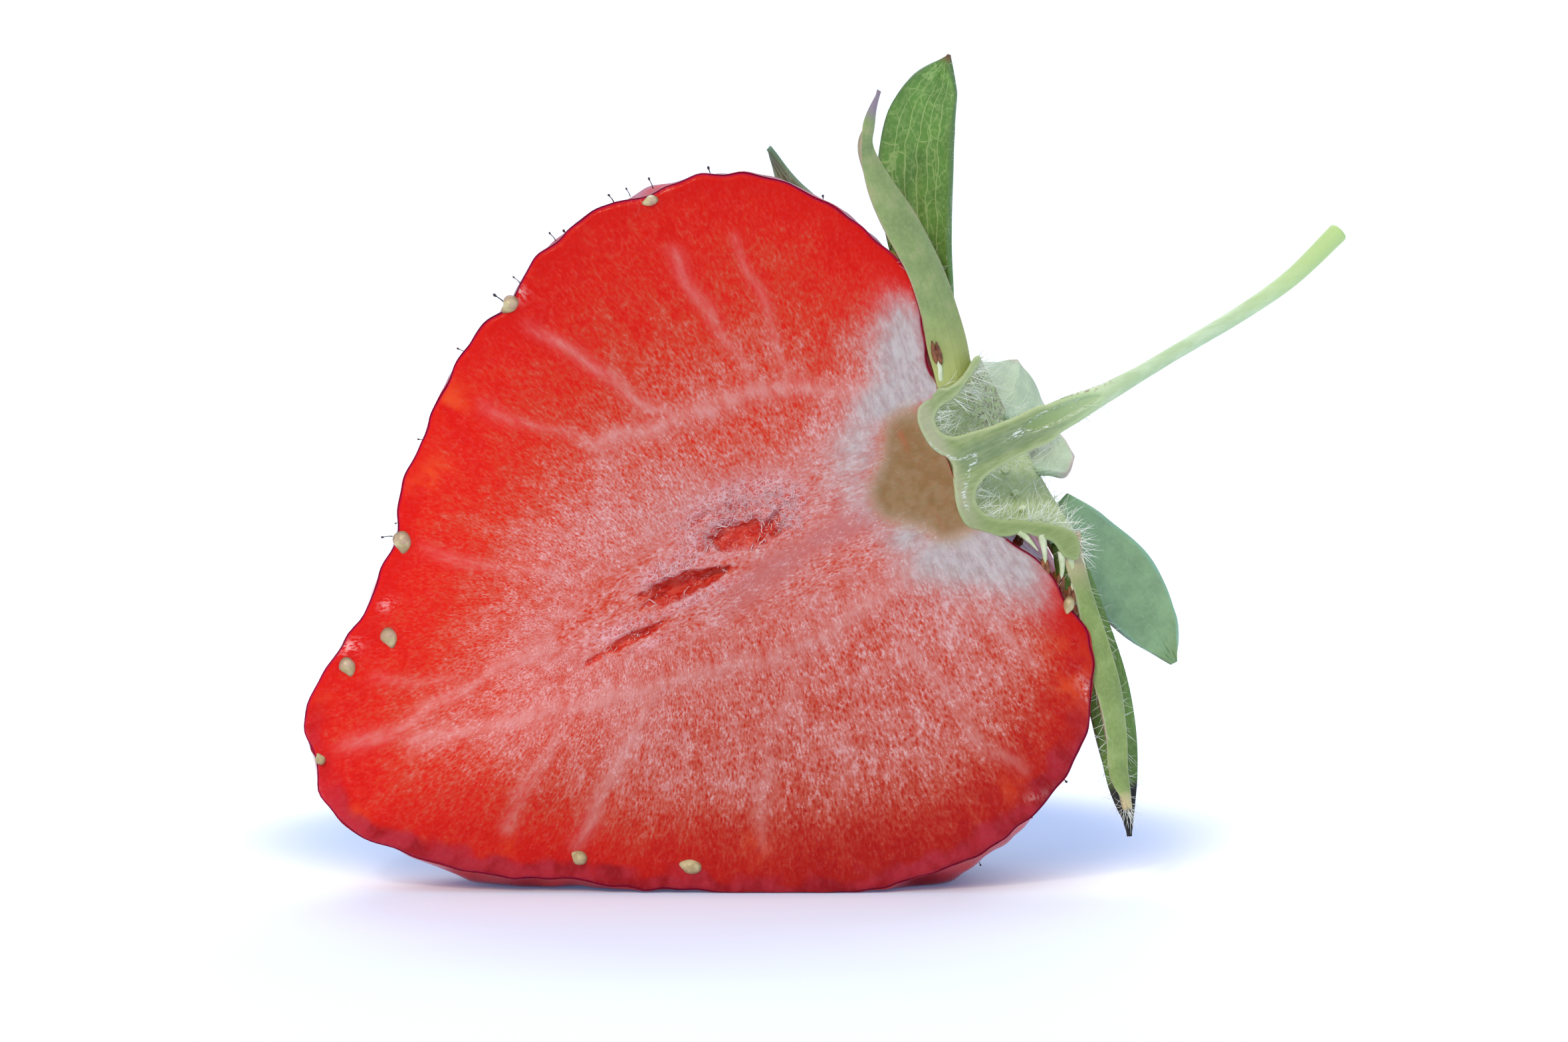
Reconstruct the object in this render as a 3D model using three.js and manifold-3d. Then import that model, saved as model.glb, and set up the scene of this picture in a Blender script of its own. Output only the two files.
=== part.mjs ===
// Half of a ripe strawberry, cut lengthwise through its stalk and lying on its side, with the cut face
// upright. Millimetres, +Z up. +X runs from the tip of the fruit towards its stalk, and +Y points away from
// the cut face. The origin is the middle of the flat spot that the half rests on, under its centre of mass.
//
// Most shapes are worked out in the fruit's own frame. Its origin is the middle of the calyx on the cut face,
// +X runs along the fruit's axis towards the stalk, +Y away from the cut face and +Z across the axis,
// upwards.
import * as THREE from "three";
import { mergeVertices } from "three/addons/utils/BufferGeometryUtils.js";
import Module from "manifold-3d";

const wasm = await Module();
wasm.setup();

// ---- Driving dimensions ----
const CUT_Y = -6.2; // the cut face, in front of the origin
const CALYX_X = 11.8; // the middle of the calyx, from the origin
const CALYX_Z = 21.6;
const TILT_DEG = 24; // the fruit's axis rises towards the stalk
const CORE_X = -11.7; // the point on the axis that the section is seen from
const DEPTH_SHARE = 0.88; // half depth over half height of the fruit's cross-section
const ROUND_ABOVE = 2.15; // superellipse powers: round above the axis, and squarer underneath
const SQUARE_BELOW = 3.0;
const SAG = 1.6; // how far the soft underside bulges down behind the cut edge
const SAG_DEPTH = 3; // and how far behind the cut it has done so
const TIP_FILL = { at_deg: 160, spread_deg: 12, by: 1.1 }; // fills the skin behind the cut's hollow
const SEAT_GAP = 0.3; // between neighbouring pieces that touch
const SKIN_GAP = 0.35; // between the flesh and what lies over it

// The cut outline of the flesh, in the fruit's frame: [towards the stalk, across], from the seat of the calyx
// over the upper shoulder to the tip and back underneath.
const SECTION = [
  [-0.3, 0.3], [-0.7, 1.9], [-0.8, 3.0], [0.5, 3.8], [0.8, 5.6], [1.5, 7.8], [1.7, 10.0], [0.7, 12.4],
  [-1.1, 15.2], [-3.9, 17.6], [-7.4, 18.7], [-11.0, 19.0], [-14.4, 18.1], [-18.5, 16.1], [-22.8, 13.1],
  [-26.6, 9.1], [-29.6, 5.7], [-33.3, 3.4], [-35.2, 1.3], [-35.9, -1.5], [-35.4, -4.2], [-33.7, -6.1],
  [-31.0, -8.6], [-25.0, -12.1], [-19.2, -15.3], [-14.3, -17.4], [-10.2, -18.4], [-6.4, -18.4],
  [-3.9, -17.8], [-1.2, -16.5], [0.9, -14.3], [2.4, -11.5], [2.7, -9.3], [2.0, -6.6], [0.8, -4.5],
  [-0.6, -2.9], [-0.5, -1.4],
];

// Achenes, the seeds on the skin.
const ACHENE = { along: 0.85, across: 0.6, high: 0.55 }; // half sizes
const ACHENE_SIDES = 6;
const ACHENE_PROUD = 0.1; // how far an achene's middle stands above the bottom of its pit
const ACHENE_TURNS = 262; // places on the whole fruit, of which the half keeps its own
const SPIRAL_START = 0.955; // where the spiral begins, as a cosine of the angle from the stalk
const SPIRAL_POWER = 0.92; // under 1, the achenes crowd towards the tip
const GOLDEN_ANGLE = Math.PI * (3 - Math.sqrt(5));
const PIT_DEPTH = 0.6;
const PIT_RADIUS = 1.15;
const CUT_MARGIN = 1.1; // an achene nearer the cut than this went with the other half
// Achenes that the knife passed beside, at [towards the stalk, across], their middles just behind the cut.
const EDGE_DEPTH = 0.25;
const EDGE_ACHENES = [
  [-17.1, 16.4], [-26.9, 7.7], [-29.5, 3.6], [-32.0, 3.1], [-35.2, -0.5], [-25.4, -10.4], [-20.5, -13.1],
  [2.3, -8.8], [-8.6, 18.3],
];

// Clefts of the hollow heart on the cut face: middle, half length, half width and depth.
const CLEFTS = [
  { at: [-11.4, 1.0], long: 2.3, wide: 0.65, deep: 1.6 },
  { at: [-14.7, 0.0], long: 2.7, wide: 0.8, deep: 2.2 },
  { at: [-17.5, -1.2], long: 1.5, wide: 0.5, deep: 1.1 },
];

// The cup of the calyx: [distance from the axis, distance towards the stalk] on the middle of its wall.
const CUP_WALL = [
  [0, 0.1], [1.4, 0.0], [2.5, -0.1], [3.2, 0.35], [3.6, 1.2], [4.0, 2.1], [4.6, 2.95], [5.2, 3.6],
];
const CUP_HALF_WALL = 0.32;
const CUP_SEGMENTS = 32;
// The foot of the stalk, where it flares into the cup.
const STALK_FOOT = [
  [0, 5.2], [0.85, 5.1], [0.93, 4.0], [1.0, 2.8], [1.15, 1.6], [1.5, 0.7], [2.3, 0.0], [0, -0.2],
];
// Middle line of the stalk: [x, depth behind the cut, z, radius].
const STALK = [
  [13.9, 0.1, 22.5, 1.1], [15.0, 0.1, 23.1, 0.95], [16.3, 0.15, 23.7, 0.87], [17.6, 0.3, 24.3, 0.78],
  [19.1, 0.6, 25.0, 0.6], [21.0, 1.2, 26.0, 0.46], [22.5, 1.7, 26.8, 0.42], [26.4, 3.0, 29.1, 0.44],
  [28.7, 3.8, 30.7, 0.48], [31.2, 4.8, 33.0, 0.55],
];

const STALK_STEPS = { around: 10, along: 30 };

// Stamens left in the gap between cup and flesh, one row round the half cup: their roots sit in the cup's
// wall, and each reaches outwards and back towards the flesh, with a thicker anther at its end.
const STAMENS = { count: 9, first_deg: 12, last_deg: 168, root_r: 3.85, root_x: 2.2, out: 1.65, back: 0.5 };
const FILAMENT_R = 0.2;
const ANTHER_R = 0.3;

const SEPAL_THICK = 0.6;
const SEPAL_NECK_ENDS = 0.4; // share of the length at which a sepal has widened from its neck
const SEPAL_TIP_SHARE = 0.05; // width of the blunt tip, as a share of the greatest width
// Sepals: the line each follows from the rim of the cup, as [x, depth behind the cut, z], its greatest
// width, the width of its neck as a share of that, how far it is folded along its midrib, and the way that
// the hollow side of the fold looks.
const SEPALS = {
  sepal_top_horn: {
    line: [
      [12.5, 0.9, 26.9], [11.6, 0.9, 28.9], [10.3, 0.8, 31.3], [9.1, 0.6, 33.4], [8.0, 0.3, 35.4],
      [7.3, 0.0, 37.5], [7.8, -0.5, 40.2],
    ],
    wide: 2.3, neck: 0.5, fold_deg: 100, faces: [0.6, -1, 0.2],
  },
  sepal_top_broad: {
    line: [
      [12.1, 2.7, 27.2], [10.8, 3.4, 29.8], [9.8, 3.8, 33.0], [9.6, 3.9, 36.0], [10.1, 3.7, 39.0],
      [11.3, 3.4, 41.6],
    ],
    wide: 4.8, neck: 0.45, fold_deg: 50, faces: [-0.35, -1, 0],
  },
  sepal_back_high: {
    line: [
      [12.6, 4.3, 25.8], [11.7, 7.2, 27.8], [9.4, 10.4, 29.4], [6.6, 12.1, 31.3], [4.0, 11.6, 34.5],
      [2.4, 10.2, 37.0],
    ],
    wide: 3.4, neck: 0.6, fold_deg: 40, faces: [-1, -0.9, -0.8],
  },
  sepal_back_upper: {
    line: [[13.9, 4.9, 23.9], [14.7, 6.6, 24.5], [15.1, 8.8, 25.3], [15.2, 11.2, 25.7]],
    wide: 3.9, neck: 0.6, fold_deg: 60, faces: [-0.6, 0, -1],
  },
  sepal_back_lower: {
    line: [[15.2, 5.0, 20.9], [16.2, 6.6, 20.9], [16.8, 8.4, 21.4], [17.2, 10.8, 22.0]],
    wide: 3.9, neck: 0.6, fold_deg: 50, faces: [0.3, 0.6, -1],
  },
  sepal_low_broad: {
    line: [[16.8, 3.7, 18.9], [18.5, 5.2, 17.3], [20.4, 6.3, 15.1], [21.9, 6.8, 12.8], [23.2, 6.8, 10.8]],
    wide: 4.8, neck: 0.5, fold_deg: 35, faces: [1, 0.6, 0.8],
  },
  sepal_low_dark: {
    line: [
      [17.0, 2.1, 17.6], [17.6, 2.7, 15.2], [18.6, 2.8, 12.2], [19.7, 2.7, 9.0], [20.4, 2.3, 5.8],
      [20.6, 1.8, 2.6],
    ],
    wide: 3.1, neck: 0.55, fold_deg: 50, faces: [-0.4, 1, 0],
  },
  sepal_low_cut: {
    line: [
      [17.7, 0.6, 17.6], [18.4, 0.6, 14.9], [19.2, 0.6, 12.0], [19.8, 0.6, 9.3], [20.2, 0.6, 6.8],
      [20.6, 0.5, 3.9],
    ],
    wide: 1.9, neck: 0.6, fold_deg: 70, faces: [-1, -0.6, -0.2],
  },
};
const SEPAL_STEPS = { along: 12, across: 4 };

// ---- Finishes ----
const finish = (color, roughness) => new THREE.MeshStandardMaterial({ color, roughness, metalness: 0 });
const FLESH_RED = finish("#d4291b", 0.35);
const STALK_GREEN = finish("#a9bf78", 0.6);
const SEPAL_GREEN = finish("#6c9a4a", 0.65);
const SEPAL_PALE = finish("#9dba74", 0.65);

// ---- Helpers ----
const vec = (x, y, z) => new THREE.Vector3(x, y, z);
const smooth = (from, to, x) => THREE.MathUtils.smoothstep(x, from, to);
const mix = THREE.MathUtils.lerp;

// The fruit's frame in the part's frame.
const fruit = new THREE.Group();
fruit.position.set(CALYX_X, CUT_Y, CALYX_Z);
fruit.rotation.y = THREE.MathUtils.degToRad(-TILT_DEG);
fruit.updateMatrixWorld(true);
const partToFruit = fruit.matrixWorld.clone().invert();

// A point given as [x, depth behind the cut, z] in the part's frame, in the fruit's frame.
const behindCut = ([x, depth, z]) => vec(x, CUT_Y + depth, z).applyMatrix4(partToFruit);

// A closed geometry whose corners are joined, with every vertex moved by a function.
function moulded(geometry, place) {
  geometry.deleteAttribute("normal");
  geometry.deleteAttribute("uv");
  const joined = mergeVertices(geometry, 1e-5);
  const position = joined.attributes.position;
  const point = new THREE.Vector3();
  for (let i = 0; i < position.count; i++) {
    point.fromBufferAttribute(position, i);
    const moved = place(point, i);
    position.setXYZ(i, moved.x, moved.y, moved.z);
  }
  return joined;
}

function solid(geometry) {
  const mesh = new wasm.Mesh({
    numProp: 3,
    vertProperties: new Float32Array(geometry.attributes.position.array),
    triVerts: new Uint32Array(geometry.index.array),
  });
  const made = new wasm.Manifold(mesh);
  if (made.volume() > 0) return made;
  const turned = new Uint32Array(geometry.index.array);
  for (let i = 0; i < turned.length; i += 3) [turned[i + 1], turned[i + 2]] = [turned[i + 2], turned[i + 1]];
  return new wasm.Manifold(
    new wasm.Mesh({ numProp: 3, vertProperties: mesh.vertProperties, triVerts: turned }),
  );
}

const FINEST = 0.02; // a cut's slivers thinner than this are closed up

// The largest body of a solid, which leaves out scraps and slivers that a cut made.
function largest(made) {
  return made.decompose()
    .reduce((best, body) => (body.volume() > best.volume() ? body : best))
    .simplify(FINEST);
}

function node(name, made, material) {
  const { vertProperties, triVerts } = largest(made).getMesh();
  const geometry = new THREE.BufferGeometry();
  geometry.setAttribute("position", new THREE.BufferAttribute(vertProperties, 3));
  geometry.setIndex(new THREE.BufferAttribute(triVerts, 1));
  geometry.computeVertexNormals();
  const mesh = new THREE.Mesh(geometry, material);
  mesh.name = name;
  fruit.add(mesh);
}

// ---- Flesh ----
// Distance of the cut outline from the core, by direction, read from a smooth closed curve through SECTION.
const outline = new THREE.CatmullRomCurve3(SECTION.map(([x, z]) => vec(x, 0, z)), true, "centripetal")
  .getPoints(720)
  .map((p) => ({ angle: Math.atan2(p.z, p.x - CORE_X), reach: Math.hypot(p.z, p.x - CORE_X) }))
  .sort((a, b) => a.angle - b.angle);

function outlineReach(angle) {
  const after = outline.findIndex((p) => p.angle >= angle);
  const b = outline[after < 0 ? 0 : after];
  const a = outline[(after < 1 ? outline.length : after) - 1];
  const span = b.angle - a.angle;
  return after < 1 || span === 0 ? b.reach : mix(a.reach, b.reach, (angle - a.angle) / span);
}

const downInFruit = vec(0, 0, -1).transformDirection(partToFruit);

// The smooth skin in a direction from the core: a superellipse round the axis, between the upper and the
// lower outline.
function skinPoint(direction, grow = 0) {
  const fromAxis = Math.acos(THREE.MathUtils.clamp(direction.x, -1, 1));
  const round = Math.atan2(Math.abs(direction.y), direction.z);
  const lower = (1 - Math.cos(round)) / 2;
  const nearTip = (THREE.MathUtils.radToDeg(fromAxis) - TIP_FILL.at_deg) / TIP_FILL.spread_deg;
  const fill = TIP_FILL.by * Math.exp(-(nearTip ** 2)) * Math.sin(round) ** 2;
  const reach = mix(outlineReach(fromAxis), outlineReach(-fromAxis), lower) + fill + grow;
  const power = mix(ROUND_ABOVE, SQUARE_BELOW, smooth(0.3, 0.9, lower));
  const high = Math.abs(Math.cos(round)) ** power;
  const deep = (Math.sin(round) / DEPTH_SHARE) ** power;
  const share = (high + deep) ** (-1 / power);
  const across = reach * Math.sin(fromAxis) * share;
  const point = vec(CORE_X + reach * Math.cos(fromAxis), across * Math.sin(round), across * Math.cos(round));
  const outward = point.clone().sub(vec(CORE_X, 0, 0)).normalize();
  const sag = SAG * smooth(0, SAG_DEPTH, point.y) * smooth(0.5, 0.95, outward.dot(downInFruit));
  point.addScaledVector(downInFruit, sag);
  if (direction.y < 0) point.y = -point.y;
  return point;
}

const SPHERE_DETAIL = 20;
const PIT_LIMIT = 1.2; // where pits run together, they go no deeper than this share of one

// The flesh of the whole fruit, as a closed surface, with a pit at each achene.
function fleshGeometry(pits, grow) {
  const directions = new THREE.IcosahedronGeometry(1, SPHERE_DETAIL);
  const body = moulded(directions, (p) => skinPoint(p.clone().normalize(), grow));
  body.computeVertexNormals();
  const { position, normal } = body.attributes;
  const point = new THREE.Vector3();
  const outward = new THREE.Vector3();
  for (let i = 0; i < position.count; i++) {
    point.fromBufferAttribute(position, i);
    outward.fromBufferAttribute(normal, i);
    const share = (pit) => Math.exp(-pit.distanceToSquared(point) / PIT_RADIUS ** 2);
    const depth = pits.reduce((sum, pit) => sum + share(pit), 0);
    point.addScaledVector(outward, -PIT_DEPTH * Math.min(depth, PIT_LIMIT));
    position.setXYZ(i, point.x, point.y, point.z);
  }
  body.deleteAttribute("normal");
  return body;
}

// Where the achenes sit on the smooth skin: a golden-angle spiral round the axis, closer together at the tip.
function achenePlaces() {
  const places = [];
  for (let i = 0; i < ACHENE_TURNS; i++) {
    const along = (i + 0.5) / ACHENE_TURNS;
    const fromStalk = mix(SPIRAL_START, -1, along ** SPIRAL_POWER);
    const turn = i * GOLDEN_ANGLE;
    const across = Math.sqrt(1 - fromStalk ** 2);
    const place = skinPoint(vec(fromStalk, across * Math.sin(turn), across * Math.cos(turn)));
    if (place.y > CUT_MARGIN) places.push(place);
  }
  return places;
}

// One achene, lying on the skin with its long way towards the tip, sunk in its pit.
function achene(place, out, sunk) {
  const outward = out.clone().normalize();
  const towardsTip = vec(-1, 0, 0).addScaledVector(outward, outward.x).normalize();
  const sideways = new THREE.Vector3().crossVectors(outward, towardsTip);
  const middle = place.clone().addScaledVector(outward, -sunk);
  return solid(
    moulded(new THREE.SphereGeometry(1, ACHENE_SIDES, 2), (p) =>
      middle.clone()
        .addScaledVector(towardsTip, p.x * ACHENE.along)
        .addScaledVector(sideways, p.z * ACHENE.across)
        .addScaledVector(outward, p.y * ACHENE.high)),
  );
}

const BLOCK = 120; // larger than the fruit each way

// A block that fills one side of a plane through a point, facing a direction in the fruit's frame.
function block(through, facing) {
  const turn = new THREE.Quaternion().setFromUnitVectors(vec(0, 0, 1), facing);
  return solid(
    moulded(new THREE.BoxGeometry(BLOCK, BLOCK, BLOCK), (p) =>
      vec(p.x, p.y, p.z + BLOCK / 2).applyQuaternion(turn).add(through)),
  );
}

const front = block(vec(0, 0, 0), vec(0, -1, 0));
const ground = block(vec(0, 0, 0).applyMatrix4(partToFruit), downInFruit);

function cleft({ at: [x, z], long, wide, deep }) {
  const ball = new THREE.IcosahedronGeometry(1, 2);
  return solid(moulded(ball, (p) => vec(x + p.x * long, p.y * deep, z + p.z * wide)));
}

function flesh() {
  const places = achenePlaces();
  const edges = EDGE_ACHENES.map(([x, z]) => vec(x, EDGE_DEPTH, z));
  const core = vec(CORE_X, 0, 0);
  let made = solid(fleshGeometry([...places, ...edges], 0));
  const withAchene = (place, sunk) => made.add(achene(place, place.clone().sub(core), sunk));
  for (const place of places) made = withAchene(place, PIT_DEPTH - ACHENE_PROUD);
  made = made.subtract(front).subtract(ground);
  for (const place of edges) made = withAchene(place, 0);
  for (const hollow of CLEFTS) made = made.subtract(cleft(hollow));
  return made;
}

// ---- Stalk and cup ----
// A line of [r, x] points, thickened to both sides, as the closed profile of a lathe.
function thickened(points, half) {
  const sides = [[], []];
  points.forEach(([r, x], i) => {
    const before = points[Math.max(i - 1, 0)];
    const after = points[Math.min(i + 1, points.length - 1)];
    const way = new THREE.Vector2(after[0] - before[0], after[1] - before[1]).normalize();
    const end = i === points.length - 1 ? half : 0;
    const sink = r === 0 ? 0 : 1;
    sides[0].push(new THREE.Vector2(r - way.y * half * sink + way.x * end, x + way.x * half + way.y * end));
    sides[1].push(new THREE.Vector2(r + way.y * half * sink + way.x * end, x - way.x * half + way.y * end));
  });
  return [...sides[1], ...sides[0].reverse()];
}

// A profile of (r, x) points turned about the fruit's axis.
function turned(profile, segments) {
  return solid(moulded(new THREE.LatheGeometry(profile, segments), (p) => vec(p.y, p.x, p.z)));
}

// A rod along a line of points, whose radius changes on the way.
function rod(points, radii, sides, steps) {
  const path = new THREE.CatmullRomCurve3(points, false, "centripetal");
  const frames = path.computeFrenetFrames(steps, false);
  const rings = new THREE.CylinderGeometry(1, 1, 1, sides, steps);
  return solid(
    moulded(rings, (p) => {
      const share = p.y + 0.5;
      const step = Math.round(share * steps);
      const place = share * (radii.length - 1);
      const low = Math.min(Math.floor(place), radii.length - 2);
      const radius = mix(radii[low], radii[low + 1], place - low);
      return path.getPoint(share)
        .addScaledVector(frames.normals[step], p.x * radius)
        .addScaledVector(frames.binormals[step], p.z * radius);
    }),
  );
}

function stamen(turnDeg) {
  const turn = THREE.MathUtils.degToRad(turnDeg);
  const outward = vec(0, Math.sin(turn), Math.cos(turn));
  const { root_r, root_x, out, back } = STAMENS;
  const root = outward.clone().multiplyScalar(root_r).setX(root_x);
  const end = outward.clone().multiplyScalar(root_r + out).setX(root_x - back);
  return rod([root, root.clone().lerp(end, 0.5), end], [FILAMENT_R, FILAMENT_R, ANTHER_R], 4, 2);
}

function cup(grow) {
  return turned(thickened(CUP_WALL, CUP_HALF_WALL + grow), CUP_SEGMENTS);
}

function stalkRod(grow) {
  const radii = STALK.map(([, , , radius]) => radius + grow);
  return rod(STALK.map(behindCut), radii, STALK_STEPS.around, STALK_STEPS.along);
}

function stalk(fleshAround) {
  const foot = turned(STALK_FOOT.map(([r, x]) => new THREE.Vector2(r, x)).reverse(), CUP_SEGMENTS);
  let made = cup(0).add(foot).add(stalkRod(0));
  const { count, first_deg, last_deg } = STAMENS;
  for (let i = 0; i < count; i++) made = made.add(stamen(mix(first_deg, last_deg, i / (count - 1))));
  return made.subtract(fleshAround).subtract(front);
}

// ---- Sepals ----
// Width of a sepal along its length, as a share of its greatest width: a neck, a broad belly and a point.
function sepalWidth(along, neckShare) {
  const neck = mix(neckShare, 1, smooth(0, SEPAL_NECK_ENDS, along));
  const point = (1 - along ** 2.4) ** 0.85;
  return Math.max(neck * point, SEPAL_TIP_SHARE);
}

function sepal({ line, wide, neck, fold_deg, faces }, grow) {
  const path = new THREE.CatmullRomCurve3(line.map(behindCut), false, "centripetal");
  const hollow = vec(...faces).transformDirection(partToFruit);
  const blade = new THREE.BoxGeometry(1, 1, 1, SEPAL_STEPS.along, SEPAL_STEPS.across, 1);
  return solid(
    moulded(blade, (p) => {
      const along = p.x + 0.5;
      const way = path.getTangent(along);
      const side = new THREE.Vector3().crossVectors(hollow, way).normalize();
      const face = new THREE.Vector3().crossVectors(way, side).normalize();
      const width = wide * sepalWidth(along, neck) + 2 * grow;
      const fold = THREE.MathUtils.degToRad(fold_deg);
      const bend = fold * p.y;
      const radius = width / fold;
      const thick = SEPAL_THICK + 2 * grow;
      return path.getPoint(along)
        .addScaledVector(way, grow * 2 * p.x)
        .addScaledVector(side, Math.sin(bend) * (radius - p.z * thick))
        .addScaledVector(face, radius - Math.cos(bend) * (radius - p.z * thick));
    }),
  );
}

// ---- The part ----
const fleshAround = solid(fleshGeometry([], SKIN_GAP));
const calyxAround = cup(SEAT_GAP).add(stalkRod(SEAT_GAP));

node("flesh", flesh(), FLESH_RED);
node("stalk", stalk(fleshAround), STALK_GREEN);

let placed = calyxAround.add(fleshAround);
for (const [name, shape] of Object.entries(SEPALS)) {
  const made = sepal(shape, 0).subtract(placed);
  node(name, made, name === "sepal_top_horn" || name === "sepal_low_cut" ? SEPAL_PALE : SEPAL_GREEN);
  placed = placed.add(sepal(shape, SEAT_GAP));
}

const strawberryHalf = new THREE.Group();
strawberryHalf.add(fruit);
export default strawberryHalf;
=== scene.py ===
# %% [markdown]
# # Half a strawberry
# A ripe strawberry was cut lengthwise through its stalk, and one half lies on its side with the cut face
# upright. The CAD model gives every piece its place. This file dresses it: wet flesh with its fibres and
# its hollow heart, seeds in their pits, the cut calyx with its hairy collar, and eight leafy sepals.
# We start by loading the CAD model and moving its parts' placements into their meshes.

# %% Load the frame
import math

import bpy
import numpy as np
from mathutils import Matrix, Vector, kdtree, noise


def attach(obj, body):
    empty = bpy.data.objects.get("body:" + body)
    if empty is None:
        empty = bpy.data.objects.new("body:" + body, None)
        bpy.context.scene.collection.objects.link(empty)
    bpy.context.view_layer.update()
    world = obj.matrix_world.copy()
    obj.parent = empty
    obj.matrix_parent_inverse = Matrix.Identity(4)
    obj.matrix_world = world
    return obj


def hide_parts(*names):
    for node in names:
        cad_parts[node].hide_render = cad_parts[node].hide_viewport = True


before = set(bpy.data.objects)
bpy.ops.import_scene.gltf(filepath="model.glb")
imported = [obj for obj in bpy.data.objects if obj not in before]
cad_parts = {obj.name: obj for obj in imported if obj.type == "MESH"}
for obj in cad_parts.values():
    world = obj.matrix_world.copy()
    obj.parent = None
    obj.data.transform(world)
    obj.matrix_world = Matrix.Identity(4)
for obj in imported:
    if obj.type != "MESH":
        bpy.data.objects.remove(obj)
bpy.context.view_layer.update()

# %% [markdown]
# ## Measures and frames
# All lengths below are real millimetres, and `MM` turns them into Blender's metres once, at the end.
# The fruit lies tilted, so its shapes are easier to describe in a frame of its own: the first number runs
# along its axis towards the stalk, the second is the depth behind the cut face, and the third runs across
# the axis, upwards. Its origin is the middle of the calyx, on the cut face.

# %% The fruit's own frame
MM = 0.001
CUT_Y = -6.2
CALYX = np.array([11.8, CUT_Y, 21.6])
TILT = math.radians(24)
ALONG = np.array([math.cos(TILT), 0, math.sin(TILT)])
DEPTH = np.array([0.0, 1.0, 0.0])
ACROSS = np.array([-math.sin(TILT), 0, math.cos(TILT)])
FRUIT_AXES = np.array([ALONG, DEPTH, ACROSS])


def in_part(points):
    """Points of the fruit's frame, in the part's frame. Both in millimetres."""
    return np.asarray(points, float) @ FRUIT_AXES + CALYX


def in_fruit(points):
    """Points of the part's frame, in the fruit's frame."""
    return (np.asarray(points, float) - CALYX) @ FRUIT_AXES.T


def behind_cut(points):
    """Points given as x, depth behind the cut and z, in the part's frame."""
    return np.asarray(points, float) + [0, CUT_Y, 0]


DOWN = np.array([-math.sin(TILT), 0, -math.cos(TILT)])
print("straight down, in the fruit's frame:", DOWN.round(3))

# %% Small tools for numbers
TINY = 1e-12  # keeps a division away from zero


def mix(a, b, share):
    return a + (b - a) * share


def smooth(low, high, x):
    """0 below low, 1 above high, and a smooth step between them."""
    t = np.clip((np.asarray(x, float) - low) / (high - low), 0, 1)
    return t * t * (3 - 2 * t)


def unit(vectors):
    return vectors / np.maximum(np.linalg.norm(vectors, axis=-1, keepdims=True), TINY)


def curve_at(points, shares, closed=False):
    """A smooth curve through the points (centripetal Catmull-Rom), at shares 0 to 1 of its way."""
    knots = np.asarray(points, float)
    spans = len(knots) if closed else len(knots) - 1
    place = np.clip(np.atleast_1d(shares), 0, 1) * spans
    span = np.minimum(place.astype(int), spans - 1)
    t = (place - span)[:, None]
    if closed:
        p0, p1, p2, p3 = (knots[(span + step) % spans] for step in (-1, 0, 1, 2))
    else:
        padded = np.vstack([2 * knots[0] - knots[1], knots, 2 * knots[-1] - knots[-2]])
        p0, p1, p2, p3 = (padded[span + step] for step in range(4))
    d0 = np.linalg.norm(p1 - p0, axis=1, keepdims=True) ** 0.5
    d1 = np.linalg.norm(p2 - p1, axis=1, keepdims=True) ** 0.5
    d2 = np.linalg.norm(p3 - p2, axis=1, keepdims=True) ** 0.5
    start = ((p1 - p0) / d0 - (p2 - p0) / (d0 + d1) + (p2 - p1) / d1) * d1
    end = ((p2 - p1) / d1 - (p3 - p1) / (d1 + d2) + (p3 - p2) / d2) * d1
    bend = 3 * (p2 - p1) - 2 * start - end
    twist = 2 * (p1 - p2) + start + end
    return p1 + start * t + bend * t**2 + twist * t**3


def near_line(places, line, spread):
    """1 on a line of [along, across] points and 0 further away, with a soft edge of that spread."""
    dense = curve_at(line, np.linspace(0, 1, 14 * len(line)))
    least = np.full(len(places), np.inf)
    for point in dense:
        least = np.minimum(least, ((places - point) ** 2).sum(axis=1))
    return np.exp(-least / spread**2)


def rough(points, size, seed=0.0):
    """Smooth noise about 0, whose lumps are about that size."""
    return np.array([noise.noise(Vector(p) / size + Vector((seed, 0, 0))) for p in points])


def distance_to(points, others):
    """How far each point is from the nearest of the others."""
    tree = kdtree.KDTree(len(others))
    for i, other in enumerate(others):
        tree.insert(other, i)
    tree.balance()
    return np.array([tree.find(point)[2] for point in points])


def at_depth(places, depth):
    """Points of the fruit's frame, from [along, across] places and how deep they lie."""
    return np.insert(np.asarray(places, float), 1, depth, axis=1)


print("a curve through three points, half way:", curve_at([[0, 0], [1, 1], [2, 0]], 0.5)[0])

# %% [markdown]
# ## Tools for meshes
# A new piece begins as one of Blender's primitives, at its size and place. It is shaped in edit mode or by
# moving its points with a formula, and its modifiers are applied, so that the mesh is the finished shape.
# Nothing else may be selected while an operator works, so each piece starts with an empty selection.

# %% Tools for meshes
MERGE = 1e-7  # metres; points closer than this become one
GOLDEN_SHARE = 0.618  # spreads the copies' own numbers evenly between 0 and 1


def start_fresh():
    """Leaves edit mode and deselects everything, before a new piece is made."""
    if bpy.context.mode != "OBJECT":
        bpy.ops.object.mode_set(mode="OBJECT")
    bpy.ops.object.select_all(action="DESELECT")


def take(piece):
    """Selects one piece alone and makes it the active one."""
    start_fresh()
    piece.select_set(True)
    bpy.context.view_layer.objects.active = piece


def new_piece(name):
    """The piece that an operator has just made, with its name."""
    piece = bpy.context.object
    piece.name = name
    piece.data.name = name
    return piece


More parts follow.
